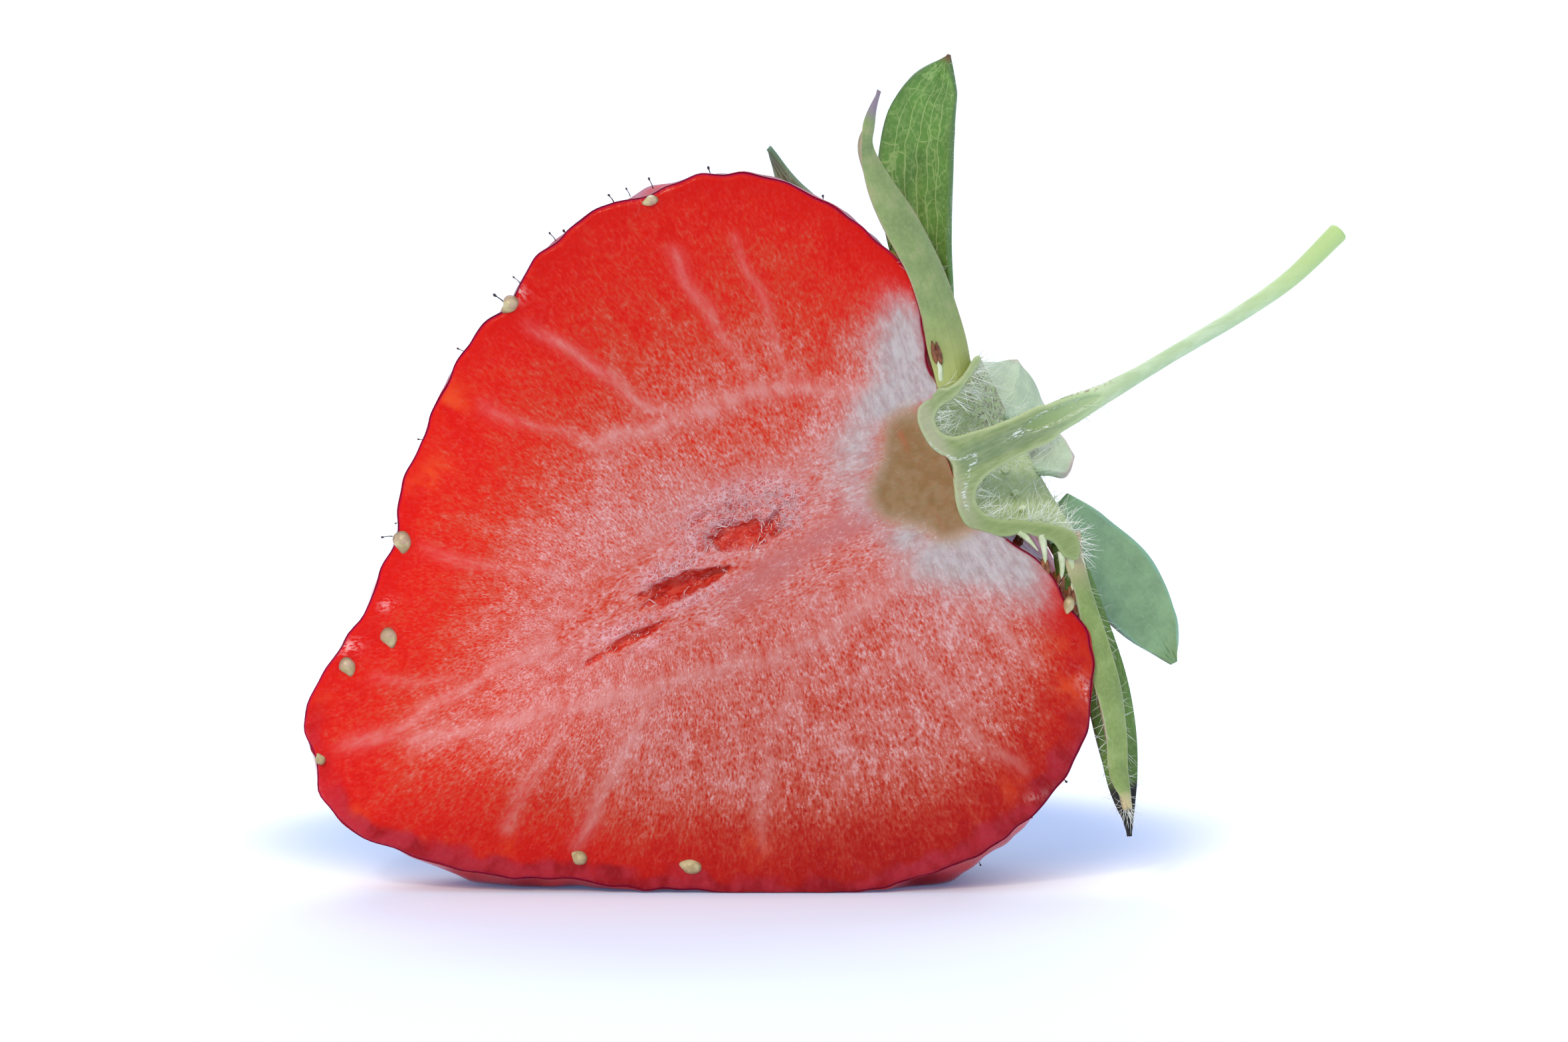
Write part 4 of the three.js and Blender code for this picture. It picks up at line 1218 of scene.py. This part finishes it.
# %% The stalk, and one skin round both
STALK = [[14.9, 0.1, 23.05], [16.3, 0.15, 23.75], [17.6, 0.3, 24.4], [19.1, 0.6, 25.1], [21.0, 1.2, 26.1],
         [22.5, 1.7, 26.95], [26.4, 3.0, 29.15], [28.7, 3.8, 30.7], [31.2, 4.8, 33.0]]
STALK_RADII = [0.9, 0.84, 0.74, 0.52, 0.41, 0.39, 0.42, 0.46, 0.53]
COARSE_VOXEL, FINE_VOXEL = 0.1, 0.085

stem = rod("stem", behind_cut(STALK), STALK_RADII)
calyx = join("calyx_and_stalk", [cup, stem])
fuse(calyx, COARSE_VOXEL)
open_up(calyx)
knife = {"plane_co": (0, CUT_Y * MM, 0), "plane_no": (0, 1, 0)}
bpy.ops.mesh.bisect(**knife, use_fill=True, clear_inner=True, threshold=MERGE)
bpy.ops.object.mode_set(mode="OBJECT")
fuse(calyx, FINE_VOXEL)
apply_modifier(calyx, "SMOOTH", factor=0.5, iterations=2)
print("calyx faces:", len(calyx.data.polygons))

# %% The split in the stalk, and the torn line at the seat
SPLIT = [
    [3.7, 0.25], [4.5, 0.6], [5.6, 0.62], [7.0, 0.56], [8.4, 0.48], [8.6, 0.4], [7.6, 0.12], [6.2, -0.02],
    [5.0, -0.06], [4.2, 0.0],
]
SPLIT_DEPTH, SPLIT_SOFT = 0.14, 0.09
LIP_WIDE, SEAT_WIDE = 0.07, 0.13
LIP_HIGH, FRAY_HIGH, SEAT_HIGH, THREAD_HIGH = 0.06, 0.12, 0.08, 0.04
FRAYED = [((3.3, 0.22), (0.75, 0.22), 1.0)]  # middle, half sizes and strength
TORN_SEATS = [
    [[-0.85, 1.5], [-0.6, 0.95], [-0.1, 0.45], [0.5, 0.18], [1.1, 0.08]],
    [[0.9, -0.15], [0.4, -0.5], [0.0, -1.05], [-0.3, -1.5], [-0.42, -2.3]],
]

spot = in_fruit(points_of(calyx) / MM)
flat_spot = spot[:, [0, 2]]
cut_side = spot[:, 1] < 0.07  # a little behind the cut, because the remesh rounds its edge
wall = np.zeros(len(spot))
wall[cut_side] = distance_to(spot[cut_side], spot[~cut_side])
inner = smooth(0.08, 0.25, wall)
split = inside(flat_spot, SPLIT, SPLIT_SOFT) * cut_side * inner
lips = near_line(flat_spot, SPLIT + SPLIT[:1], LIP_WIDE) * cut_side * inner
seat = np.maximum(*[near_line(flat_spot, line, SEAT_WIDE) for line in TORN_SEATS]) * cut_side
frayed = soft_spots(flat_spot, FRAYED) * cut_side
threads = rough(np.column_stack([spot[:, 0] * 0.35, spot[:, 1], spot[:, 2] * 2.5]), 0.4, 9.0)
flecks = rough(spot, 0.16, 4.0)
raised = (LIP_HIGH * lips + FRAY_HIGH * frayed + SEAT_HIGH * seat) * np.abs(flecks)
spot[:, 1] += cut_side * (SPLIT_DEPTH * split + THREAD_HIGH * threads * inner - raised)
move_points(calyx, in_part(spot) * MM)
calyx_notes = {
    "section": cut_side.astype(float), "wall": wall, "split": split, "lips": lips, "seat": seat,
    "frayed": frayed, "spot": spot,
}
note(calyx, **calyx_notes)
print("the split is", round(float((split * SPLIT_DEPTH).max()), 2), "mm deep")

# %% Calyx finish
tissue = Finish(
    "cut_calyx_green", Specular_IOR_Level=0.3, Subsurface_Weight=0.2, Subsurface_Radius=(0.6, 1.0, 0.3),
    Subsurface_Scale=0.0005, Coat_Roughness=0.3,
)
part = {name: tissue.noted(name) for name in calyx_notes if name != "spot"}
spot_here = tissue.noted("spot", vector=True)
towards_stalk = tissue.node("SeparateXYZ", {}, {0: spot_here})
across_axis = towards_stalk.other(2)
lengthwise = tissue.noise(spot_here.scaled(0.3, 1.4, 1.4), 1.6, 4)
strands = tissue.noise(spot_here.scaled(0.5, 2.2, 2.2), 2.6, 3)
fine = tissue.noise(tissue.place, 5.0, 3)
pale_skin = tissue.blend(lengthwise.step(0.3, 0.7), "#adbc84", "#bfcb9b")
young_skin = tissue.blend(lengthwise.step(0.3, 0.7), "#b3c89b", "#c7d8b4")
stalk_skin = tissue.blend(towards_stalk.step(14, 22), young_skin, "#b8cf88")
outer_skin = tissue.blend(towards_stalk.step(4, 11), pale_skin, stalk_skin)
brown_edge = fine.step(0.48, 0.6) * across_axis.step(0.45, 0.75) * towards_stalk.step(9.5, 7.5)
weathered = tissue.blend(brown_edge * towards_stalk.step(1.2, 2.2) * 0.8, outer_skin, "#8a7a6c")
wall_green = tissue.blend(strands.step(0.3, 0.7), "#7f9158", "#97a36f")
core_green = tissue.blend(strands.step(0.3, 0.7), "#6c8057", "#819167")
in_core = abs(across_axis - 0.1).step(0.75, 0.35) * towards_stalk.step(-0.2, 0.6)
section_green = tissue.blend(in_core * 0.85, wall_green, core_green)
pithward = tissue.blend(towards_stalk.step(0.3, -0.5) * 0.75, section_green, "#aba98a")
walled = tissue.blend(part["wall"].step(0.3, 0.08) * 0.7, pithward, "#b2bc8c")
in_split = tissue.blend(part["split"].step(0.2, 0.8) * 0.8, walled, "#84995c")
hairlines = tissue.noise(spot_here.scaled(1.0, 3.6, 3.6), 3.4, 3)
white_bits = (part["lips"] * 0.85).most(part["frayed"]).most(part["seat"] * 0.9)
torn_share = (white_bits * hairlines.step(0.46, 0.6)).step(0.15, 0.75) * 0.8
torn_bits = tissue.blend(torn_share, in_split, "#dbe2dc")
paler_out = tissue.blend(towards_stalk.step(3.5, 9.0) * 0.75, torn_bits, "#bad1a0")
stalk_section = tissue.blend(towards_stalk.step(8.5, 12), paler_out, stalk_skin)
green = tissue.blend(part["section"], weathered, stalk_section)
# Painted shade: the lower side of the calyx is darker.
tissue.feed(Base_Color=tissue.blend(across_axis.step(-1.2, -3.5) * 0.4, green, "#748a42"))
tissue.feed(Roughness=fine.step(0.2, 0.8, 0.4, 0.65), Coat_Weight=part["section"] * 0.3)
tissue.bump(strands * 0.7 + fine * 0.5, 0.5, 0.05)
dress(calyx, tissue, "stalk", "stalk")

# %% [markdown]
# ## Stamens
# In the gap between cup and flesh stands what is left of the stamens: pale threads on the cup's wall, most
# of them still with a brown, two-lobed anther. The threads are short rods. One lobe is modelled from the
# achenes' drop, and each anther is two copies of it, side by side.

# %% Threads of the stamens
# Each front one: [along, depth behind the cut, across] points of its thread, its radii and whether it has
# an anther. The others stand round the axis by their turn in degrees, from straight up.
FRONT_STAMENS = [
    ([[0.95, 0.15, 4.2], [1.15, 0.02, 4.7], [1.25, -0.05, 5.2]], [0.17, 0.13, 0.09], True),
    ([[1.9, 0.7, 4.6], [1.8, 0.75, 6.0], [1.45, 0.75, 7.6]], [0.08, 0.07, 0.05], False),
    ([[1.5, 0.2, -4.3], [1.75, 0.2, -4.9], [1.95, 0.25, -5.6]], [0.22, 0.14, 0.03], False),
    ([[2.45, 0.2, -4.9], [2.25, 0.2, -5.7], [2.0, 0.25, -6.35]], [0.24, 0.15, 0.09], True),
    ([[3.0, 0.25, -6.1], [2.65, 0.35, -7.0], [2.4, 0.4, -7.4]], [0.2, 0.13, 0.08], True),
    ([[3.3, 0.4, -6.6], [3.0, 0.5, -7.6], [2.65, 0.5, -8.2]], [0.2, 0.12, 0.07], True),
]
BACK_TURNS = [26, 48, 70, 92, 114, 136, 156]
BACK_RADII = [0.2, 0.13, 0.11, 0.09]
STAMEN_STEPS = np.array([0, 0.4, 0.75, 1])
STAMEN_ROOT, STAMEN_REACH = (3.75, 2.1), 1.6  # distance from the axis and along it; how far they reach out
STAMEN_DROOP = 0.75
LOBE_HALF, LOBE_APART = (0.6, 0.16, 0.2), 0.1
LOBE_AHEAD, LOBE_STAGGER = 0.36, 0.05

lines = [(in_part(line), radii, ripe) for line, radii, ripe in FRONT_STAMENS]
for turn in np.radians(BACK_TURNS):
    off_axis = STAMEN_ROOT[0] + STAMEN_REACH * STAMEN_STEPS
    along = STAMEN_ROOT[1] - STAMEN_DROOP * STAMEN_STEPS**2
    line = np.column_stack([along, off_axis * math.sin(turn), off_axis * math.cos(turn)])
    lines.append((in_part(line), BACK_RADII, True))

rods = [rod("filament", line, radii, steps=4, round_steps=2) for line, radii, _ in lines]
filaments = join("stamen_filaments", rods)
lobes = []
for line, _, ripe in lines:
    ahead = unit(line[-1] - line[-2])
    beside = unit(np.cross(ahead, DEPTH)) * LOBE_APART
    for side in (-1, 1) if ripe else ():
        lobe_at = line[-1] + ahead * (LOBE_AHEAD + LOBE_STAGGER * side) + beside * side
        lobes.append((lobe_at, ahead, -DEPTH, LOBE_HALF))
anthers = stamp(drop("anther_lobe", 12, 8), "anthers", *zip(*lobes))
print(len(lines), "stamens")

pale_thread = Finish("stamen_green", Subsurface_Weight=0.1)
thread_tint = pale_thread.noise(pale_thread.place, 1.5, 3)
pale_thread.feed(Base_Color=pale_thread.blend(thread_tint.step(0.35, 0.65), "#b9c88e", "#dde2c0"))
pale_thread.feed(Roughness=thread_tint.step(0.2, 0.8, 0.45, 0.65))
dress(filaments, pale_thread, "stalk")

husk_brown = Finish("dry_anther")
husk = husk_brown.noise(husk_brown.place, 4.0, 4)
husk_brown.feed(Base_Color=husk_brown.blend(husk.step(0.35, 0.65), "#5d2c16", "#915a34"))
husk_brown.feed(Roughness=husk.step(0.2, 0.8, 0.45, 0.8))
husk_brown.bump(husk, 0.8, 0.08)
dress(anthers, husk_brown, "stalk")

# %% [markdown]
# ## The sepals
# Eight leafy blades stand on the cup's rim. Each one follows a line through the air, widens from a neck
# to a belly and runs out to a point, and is folded lengthwise along its midrib. A grid primitive is bent
# onto that shape and given its thickness by a Solidify modifier. Small waves, a sunken midrib and raised
# veins keep it from looking like paper.

# %% The blades' lines and shapes
# line: x, depth behind the cut and z. widths: in even steps along it. fold: degrees from edge to edge.
# faces: the way that the hollow side of the fold looks. relief: how strongly midrib and veins are raised.
SEPALS = {
    "sepal_top_horn": {
        "line": [[11.8, 0.45, 25.6], [11.5, 0.4, 27.2], [11.0, 0.4, 29.2], [10.25, 0.4, 31.3],
                 [9.2, 0.4, 33.4], [7.95, 0.3, 35.6], [7.25, 0.1, 37.3], [7.35, -0.2, 38.4],
                 [7.85, -0.5, 40.2]],
        "widths": [2.2, 2.3, 2.0, 2.1, 2.05, 1.35, 0.8, 0.5, 0.0],
        "fold": 70, "faces": (-0.5, 1, -0.3), "relief": 0.1,
    },
    "sepal_top_broad": {
        "line": [[11.0, 2.7, 27.4], [10.5, 3.3, 30.0], [10.0, 3.7, 33.0], [9.85, 3.9, 36.0],
                 [10.1, 3.8, 38.5], [10.8, 3.6, 40.4], [11.4, 3.4, 41.9]],
        "widths": [1.7, 2.6, 3.5, 3.95, 3.7, 2.4, 0.0], "fold": 40, "faces": (-0.35, -1, 0), "relief": 0.6,
    },
    "sepal_back_high": {
        "line": [[12.6, 4.3, 25.8], [11.7, 7.2, 27.8], [9.4, 10.4, 29.4], [6.6, 12.1, 31.3],
                 [4.0, 11.6, 34.5], [2.4, 10.2, 37.0]],
        "widths": [2.0, 2.9, 3.4, 3.3, 2.3, 0.0], "fold": 40, "faces": (-1, -0.9, -0.8), "relief": 1,
    },
    "sepal_back_upper": {
        "line": [[13.9, 4.9, 23.9], [14.7, 6.6, 24.5], [15.1, 8.8, 25.3], [15.2, 11.2, 25.9]],
        "widths": [2.6, 4.6, 5.0, 3.2, 0.0], "fold": 60, "faces": (-0.6, 0, -1), "relief": 1,
    },
    "sepal_back_lower": {
        "line": [[15.2, 5.0, 20.9], [15.9, 6.6, 21.1], [16.4, 8.4, 21.7], [16.9, 10.8, 22.6]],
        "widths": [2.6, 4.0, 3.8, 2.4, 0.0], "fold": 50, "faces": (0.3, 0.6, -1), "relief": 1,
    },
    "sepal_low_broad": {
        "line": [[16.8, 3.7, 18.9], [18.5, 5.2, 17.0], [20.3, 6.2, 15.1], [21.9, 6.7, 12.9],
                 [23.2, 6.8, 10.8]],
        "widths": [2.4, 3.4, 3.9, 3.7, 2.6, 0.3], "fold": 35, "faces": (0.1, -1, 0.2), "relief": 0.4,
    },
    "sepal_low_dark": {
        "line": [[17.2, 2.1, 17.6], [18.0, 2.7, 15.2], [18.9, 2.8, 12.2], [19.75, 2.7, 9.0],
                 [20.25, 2.3, 5.8], [20.6, 1.8, 2.6]],
        "widths": [1.3, 1.7, 2.1, 2.4, 2.3, 1.5, 0.0], "fold": 45, "faces": (-0.4, 1, 0), "relief": 0.6,
    },
    "sepal_low_cut": {
        "line": [[17.5, 0.45, 18.1], [17.75, 0.5, 16.6], [18.2, 0.6, 14.8], [18.95, 0.6, 12.2],
                 [19.5, 0.6, 10.0], [19.85, 0.6, 7.8], [20.05, 0.6, 5.9], [20.45, 0.5, 4.2]],
        "widths": [1.0, 0.9, 0.95, 1.25, 1.3, 1.1, 0.85, 0.25],
        "fold": 50, "faces": (-0.4, 1, 0), "relief": 0.1,
    },
}
ROOT_SHARE = 0.05  # each blade starts this share of its length inside the cup's rim
print(len(SEPALS), "sepals")

# %% One blade
BLADE_STEPS = (84, 24)
BLADE_THICK = 0.3
LEAST_WIDTH = 0.06
EDGE_WAVE, EDGE_WAVE_TURNS, MIDRIB_SINK, VEIN_RISE = 0.1, 17, 0.12, 0.04
VEIN_PLACES = (0.3, 0.6)  # side veins, as shares of the half width
RIDGE = 0.05  # how wide midrib and veins are, as a share of the width


def blade(name, line, widths, fold, faces, relief):
    """A sepal's blade: the piece and, for its hairs, its rim's points with the ways out and to the tip."""
    start_fresh()
    bpy.ops.mesh.primitive_grid_add(x_subdivisions=BLADE_STEPS[0], y_subdivisions=BLADE_STEPS[1], size=1)
    piece = new_piece(name)
    grid = points_of(piece)
    share = (grid[:, 0] + 0.5) * (1 + ROOT_SHARE) - ROOT_SHARE
    v = grid[:, 1]
    path = behind_cut(line)
    way = unit(curve_at(path, share + 0.01) - curve_at(path, share - 0.01))
    length = np.linalg.norm(np.diff(curve_at(path, np.linspace(0, 1, 60)), axis=0), axis=1).sum()
    place = curve_at(path, share) + way * np.minimum(share, 0)[:, None] * length
    side = unit(np.cross(np.array(faces, float), way))
    face = unit(np.cross(way, side))
    shown = np.clip(share, 0, 1)
    width_steps = np.column_stack([range(len(widths)), widths])
    width = np.maximum(curve_at(width_steps, shown)[:, 1], LEAST_WIDTH)
    bend = math.radians(fold) * v
    radius = width / math.radians(fold)
    out = np.abs(2 * v)
    wave = EDGE_WAVE * np.sin(share * EDGE_WAVE_TURNS + np.sign(v) * 1.3 + line[0][0]) * out**3
    veins = sum(np.exp(-(((out - vein_at) / RIDGE) ** 2)) for vein_at in VEIN_PLACES)
    rise = wave + relief * (VEIN_RISE * veins - MIDRIB_SINK * np.exp(-((v / RIDGE) ** 2)))
    rise = rise * smooth(0, 0.3, width / max(widths))
    place = place + side * (np.sin(bend) * radius)[:, None]
    place = place + face * (radius * (1 - np.cos(bend)) + rise)[:, None]
    move_points(piece, place * MM)
    leaf = np.stack([v * width, share * length, np.zeros(len(v))], axis=1)
    note(piece, across=2 * v, along=share, leaf=leaf)
    apply_modifier(piece, "SOLIDIFY", thickness=BLADE_THICK * MM, offset=0)
    heal(piece)
    at_rim = out > 0.99
    return piece, place[at_rim], (side * np.sign(v)[:, None])[at_rim], way[at_rim]


blades = {name: blade(name, **shape) for name, shape in SEPALS.items()}
print("a blade has", len(blades["sepal_top_broad"][0].data.polygons), "faces")

# %% [markdown]
# ## Leaf finishes
# One function makes every sepal's finish from a few colours, because the blades differ: those in front
# are a fresh green with a pale net of veins, those seen from behind are paler, some have a reddish edge,
# and the lowest one has a black, dried tip. The veins follow the blade, so they use its own coordinates.

# %% Leaf finishes
def leaf_finish(name, leaf, vein, rim, tip, tip_from=0.93, net=0.5, blush=0.0, root=None):
    """tip_from: where the tip's colour starts. net: how strong the veins are. blush: reddish patches."""
    finish = Finish(
        name, Subsurface_Weight=0.15, Subsurface_Radius=(0.4, 0.8, 0.2), Subsurface_Scale=0.0005,
        Coat_Roughness=0.4,
    )
    across, along = finish.noted("across"), finish.noted("along")
    flat_place = finish.noted("leaf", vector=True)
    wobble = (finish.noise(flat_place, 0.5, 2) - 0.5) * 0.35
    from_middle = abs(across + wobble * along.step(0.0, 0.3))
    lines = from_middle.step(0.035, 0.012)
    for vein_at in VEIN_PLACES:
        lines = lines.most(abs(from_middle - vein_at).step(0.022, 0.006))
    bent = flat_place.moved(finish.node("TexNoise", {}, {"Vector": flat_place, "Scale": 0.8}, output=1))
    mesh_cells = finish.node(
        "TexVoronoi", {"feature": "DISTANCE_TO_EDGE"}, {"Vector": bent.scaled(1.5, 0.8, 1), "Scale": 0.9},
    )
    patches = finish.noise(flat_place, 0.7, 4)
    fine_net = mesh_cells.step(0.04, 0.008) * patches.step(0.35, 0.6, 0.3, 0.8)
    veins = lines.most(fine_net)
    grain = finish.noise(finish.place, 5.0, 3)
    darker = tuple(part * 0.75 for part in paint(leaf)[:3]) + (1.0,)
    green = finish.blend(patches.step(0.3, 0.7), darker, leaf)
    grained = finish.blend(grain.step(0.4, 0.7) * 0.25, green, vein)
    blushed = finish.blend(patches.step(0.5, 0.66) * blush, grained, rim)
    veined = finish.blend(veins * net, blushed, vein)
    rimmed = finish.blend(abs(across).step(0.88, 1.0) * 0.7, veined, rim)
    at_tip = (along + (patches - 0.5) * 0.12).step(tip_from - 0.04, tip_from + 0.03)
    ended = finish.blend(at_tip, rimmed, tip)
    rooted = finish.blend(along.step(0.3, 0.05) * 0.9, ended, root or leaf)
    finish.feed(Base_Color=rooted, Roughness=patches.step(0.2, 0.8, 0.45, 0.65))
    finish.bump(grain * 0.4 + veins * 0.6, 0.5, 0.05)
    return finish


LEAVES = {
    "sepal_top_horn": {"leaf": "#8b9f5f", "vein": "#a0b078", "rim": "#b39a80", "tip": "#8d7b88",
                       "tip_from": 0.92, "net": 0.05, "blush": 0.25, "root": "#a9af62"},
    "sepal_top_broad": {"leaf": "#5a8a32", "vein": "#a6bd74", "rim": "#54703f", "tip": "#7a3a26",
                        "tip_from": 0.98, "net": 0.6},
    "sepal_back_high": {"leaf": "#7c9f77", "vein": "#a4bb96", "rim": "#7f9a80", "tip": "#6c8a70"},
    "sepal_back_upper": {"leaf": "#aec29c", "vein": "#b9caa8", "rim": "#c4b2a0", "tip": "#b9b498",
                         "tip_from": 0.9, "net": 0.1, "blush": 0.15},
    "sepal_back_lower": {"leaf": "#a8be98", "vein": "#aec39b", "rim": "#c9a5a5", "tip": "#c9a9ae",
                         "tip_from": 0.85, "net": 0.1, "blush": 0.15},
    "sepal_low_broad": {"leaf": "#86aa7d", "vein": "#98b88c", "rim": "#86b39c", "tip": "#7c9d6c",
                        "net": 0.12},
    "sepal_low_dark": {"leaf": "#5e832a", "vein": "#93a963", "rim": "#4a6e2e", "tip": "#15120f",
                       "tip_from": 0.84, "net": 0.35},
    "sepal_low_cut": {"leaf": "#88a054", "vein": "#a3b276", "rim": "#b5b095", "tip": "#c9b98c",
                      "tip_from": 0.96, "net": 0.05, "blush": 0.12, "root": "#c3a88c"},
}
for name, colours in LEAVES.items():
    dress(blades[name][0], leaf_finish(name + "_green", **colours), "sepal", name)

# %% [markdown]
# ## Hairs
# Fine white hairs cover the outside of the cup, the foot of the stalk and the sepals' edges. One hair is
# grown like the dried styles, and its copies are scattered by a seeded draw, each leaning its own way.

# %% Hairs on the cup and the stalk
HAIR_STEPS = [(0.35, 0.85, 0.02), (0.35, 0.8, 0.05), (0.3, 0.35, 0.07)]
HAIR_THICK = 0.013  # radius, as a share of a hair's length
IN_CUP, ON_STALK, BELOW_STALK, BY_THE_CUT = 520, 130, 130, 200  # how many hairs grow where


def hairs(name, roots, outs, lengths, spread, lean=(0, 0, 0)):
    """Hairs at the roots, pointing out with a random spread and a common lean."""
    ways = unit(outs + chance.normal(0, spread, outs.shape) + np.array(lean))
    curls = chance.normal(0, 1, outs.shape)
    return stamp(thread("hair", 3, HAIR_THICK, HAIR_STEPS), name, roots, curls, ways, lengths)


normals = points_of(calyx, "normal")
skin_points = points_of(calyx) / MM
along, depth, across = in_fruit(skin_points).T
from_axis = np.hypot(depth, across)
faces_stalk = smooth(0.0, 0.3, normals @ ALONG)
behind_face = smooth(0.05, 0.2, depth)
on_cup = smooth(4.4, 3.8, along) * faces_stalk * behind_face
in_cup = smooth(1.2, 1.7, from_axis) * on_cup
on_stalk = smooth(0.6, 1.2, along) * smooth(9.0, 6.0, along) * smooth(2.2, 1.8, from_axis) * behind_face
below_stalk = on_stalk * smooth(0.2, -0.4, across)
by_the_cut = smooth(0.4, 0.1, depth) * smooth(1.3, 1.8, from_axis) * on_cup


def pick(weight, count):
    return chance.choice(len(weight), count, p=weight / weight.sum())


areas = [(in_cup, IN_CUP), (on_stalk, ON_STALK), (below_stalk, BELOW_STALK), (by_the_cut, BY_THE_CUT)]
chosen = np.concatenate([pick(weight, count) for weight, count in areas])
lengths = chance.uniform(0.6, 1.4, len(chosen)) * mix(1, 0.5, on_stalk[chosen])
cup_hairs = hairs("calyx_hairs", skin_points[chosen], normals[chosen], lengths, 0.28, 0.45 * ALONG)
print(len(chosen), "hairs on the calyx")

# %% Hairs on the sepals
# How many hairs each sepal's edge has, and their middle length.
EDGE_HAIRS = {
    "sepal_top_horn": (60, 0.4), "sepal_top_broad": (70, 0.5), "sepal_back_high": (60, 0.5),
    "sepal_back_upper": (70, 0.7), "sepal_back_lower": (70, 0.7), "sepal_low_broad": (90, 0.5),
    "sepal_low_dark": (90, 0.6), "sepal_low_cut": (150, 0.75),
}
FRAYS = 26  # loose fibres at the end of the sepal that the knife ran along

rim_roots, rim_outs, rim_lengths = [], [], []
for name, (count, length) in EDGE_HAIRS.items():
    _, rim_places, rim_ways, tipward = blades[name]
    chosen = chance.integers(0, len(rim_places), count)
    rim_roots.append(rim_places[chosen])
    rim_outs.append(unit(rim_ways[chosen] + tipward[chosen] * 0.9))
    rim_lengths.append(chance.uniform(0.5, 1.3, count) * length)

cut_end = behind_cut(SEPALS["sepal_low_cut"]["line"])[-1]
rim_roots.append(cut_end + chance.normal(0, 0.15, (FRAYS, 3)))
rim_outs.append(unit(np.array([0.1, -0.1, -1.0]) + chance.normal(0, 0.35, (FRAYS, 3))))
rim_lengths.append(chance.uniform(0.6, 1.3, FRAYS))
sepal_hairs = hairs(
    "sepal_hairs", np.vstack(rim_roots), np.vstack(rim_outs), np.concatenate(rim_lengths), 0.25,
)

white_hair = Finish("white_hair")
hair_shade = white_hair.noted("copy")
white_hair.feed(Base_Color=white_hair.blend(hair_shade.step(0.0, 1.0), "#e4e9d6", "#fbfcf6"))
white_hair.feed(Roughness=hair_shade.step(0.0, 1.0, 0.35, 0.6))
dress(cup_hairs, white_hair, "hair")
dress(sepal_hairs, white_hair, "hair")

# %% [markdown]
# ## Torn cells round the clefts
# The core has pulled apart, and its cells stand open there like tiny soap bubbles that have burst. What is
# left of each is a bright rim. One rim is a small torus, made uneven, and its copies lie on the torn flesh
# in all directions. A few fine threads still bridge the hollows.

# %% Open cells
OPEN_CELLS = 420
CELL_SIZES, CELL_STRETCH, CELL_TILT, CELL_LIFT = (0.04, 0.1), (1.0, 1.7), 0.35, 0.01

start_fresh()
bpy.ops.mesh.primitive_torus_add(major_segments=12, minor_segments=4, major_radius=1, minor_radius=0.13)
cell_rim = new_piece("cell_rim")
wavy = points_of(cell_rim)
around = np.arctan2(wavy[:, 1], wavy[:, 0])
wavy[:, 2] += 0.3 * np.sin(around * 2) + 0.15 * np.sin(around * 3)
move_points(cell_rim, wavy)

face_spots = flat[near_core]
face_depths = body[near_core, 1]
area = np.hypot(face_spots[:, 0] - CORE[0], face_spots[:, 1])  # the face's rings crowd together at the core
core_hollow, core_torn = hollow[near_core], torn[near_core]


def scatter(count, likely, lift, spread, lean):
    """Places on the torn flesh, drawn by how likely each is, and a way for each that strays from lean."""
    chosen = chance.choice(len(face_spots), count, replace=False, p=likely / likely.sum())
    ways = unit(chance.normal(0, 1, (count, 3)) * spread + np.array(lean)) @ FRUIT_AXES
    return in_part(at_depth(face_spots[chosen], face_depths[chosen] - lift)), ways


on_torn = core_torn**3 * area * smooth(0.5, 0.2, core_hollow)
cell_places, cell_ways = scatter(OPEN_CELLS, on_torn, CELL_LIFT, CELL_TILT, (0, -1.0, 0))
cell_curls = chance.normal(0, 1, (OPEN_CELLS, 3))
cell_sizes = np.repeat(chance.uniform(*CELL_SIZES, (OPEN_CELLS, 1)), 3, axis=1)
cell_sizes[:, 0] *= chance.uniform(*CELL_STRETCH, OPEN_CELLS)
open_cells = stamp(cell_rim, "open_cells", cell_places, cell_curls, cell_ways, cell_sizes)
print(OPEN_CELLS, "open cells")

# %% Threads across the hollows
TORN_STEPS = [(0.3, 1.2, 0.1), (0.3, 0.9, 0.2), (0.25, 0.8, 0.1), (0.15, 0.6, -0.1)]
TORN_THREADS = 150
TORN_LENGTHS, TORN_THICK, TORN_SINK = (0.2, 0.5), 0.06, 0.03
TORN_SPREAD = np.array([0.7, 0.3, 1.0])  # they lie across the axis rather than along it or outwards

in_pockets = smooth(0.03, 0.15, core_hollow) * smooth(0.6, 0.3, core_hollow) * area
thread_places, thread_ways = scatter(TORN_THREADS, in_pockets, -TORN_SINK, TORN_SPREAD, (0, -0.3, 0))
thread_curls = chance.normal(0, 1, (TORN_THREADS, 3))
lengths = chance.uniform(*TORN_LENGTHS, TORN_THREADS)
torn_thread = thread("torn_thread", 4, TORN_THICK, TORN_STEPS)
torn_threads = stamp(torn_thread, "torn_threads", thread_places, thread_curls, thread_ways, lengths)

cell_wall = Finish(
    "torn_cell_wall", Specular_IOR_Level=0.4, Coat_Weight=0.4, Coat_Roughness=0.2, Subsurface_Weight=0.3,
    Subsurface_Radius=(1.0, 0.5, 0.45), Subsurface_Scale=0.0003,
)
wall_shade = cell_wall.noted("copy")
cell_wall.feed(Base_Color=cell_wall.blend(wall_shade.step(0.0, 0.8), "#d9918c", "#ecc4c4"))
cell_wall.feed(Roughness=wall_shade.step(0.0, 1.0, 0.25, 0.5))
dress(open_cells, cell_wall, "flesh")
dress(torn_threads, cell_wall, "flesh")
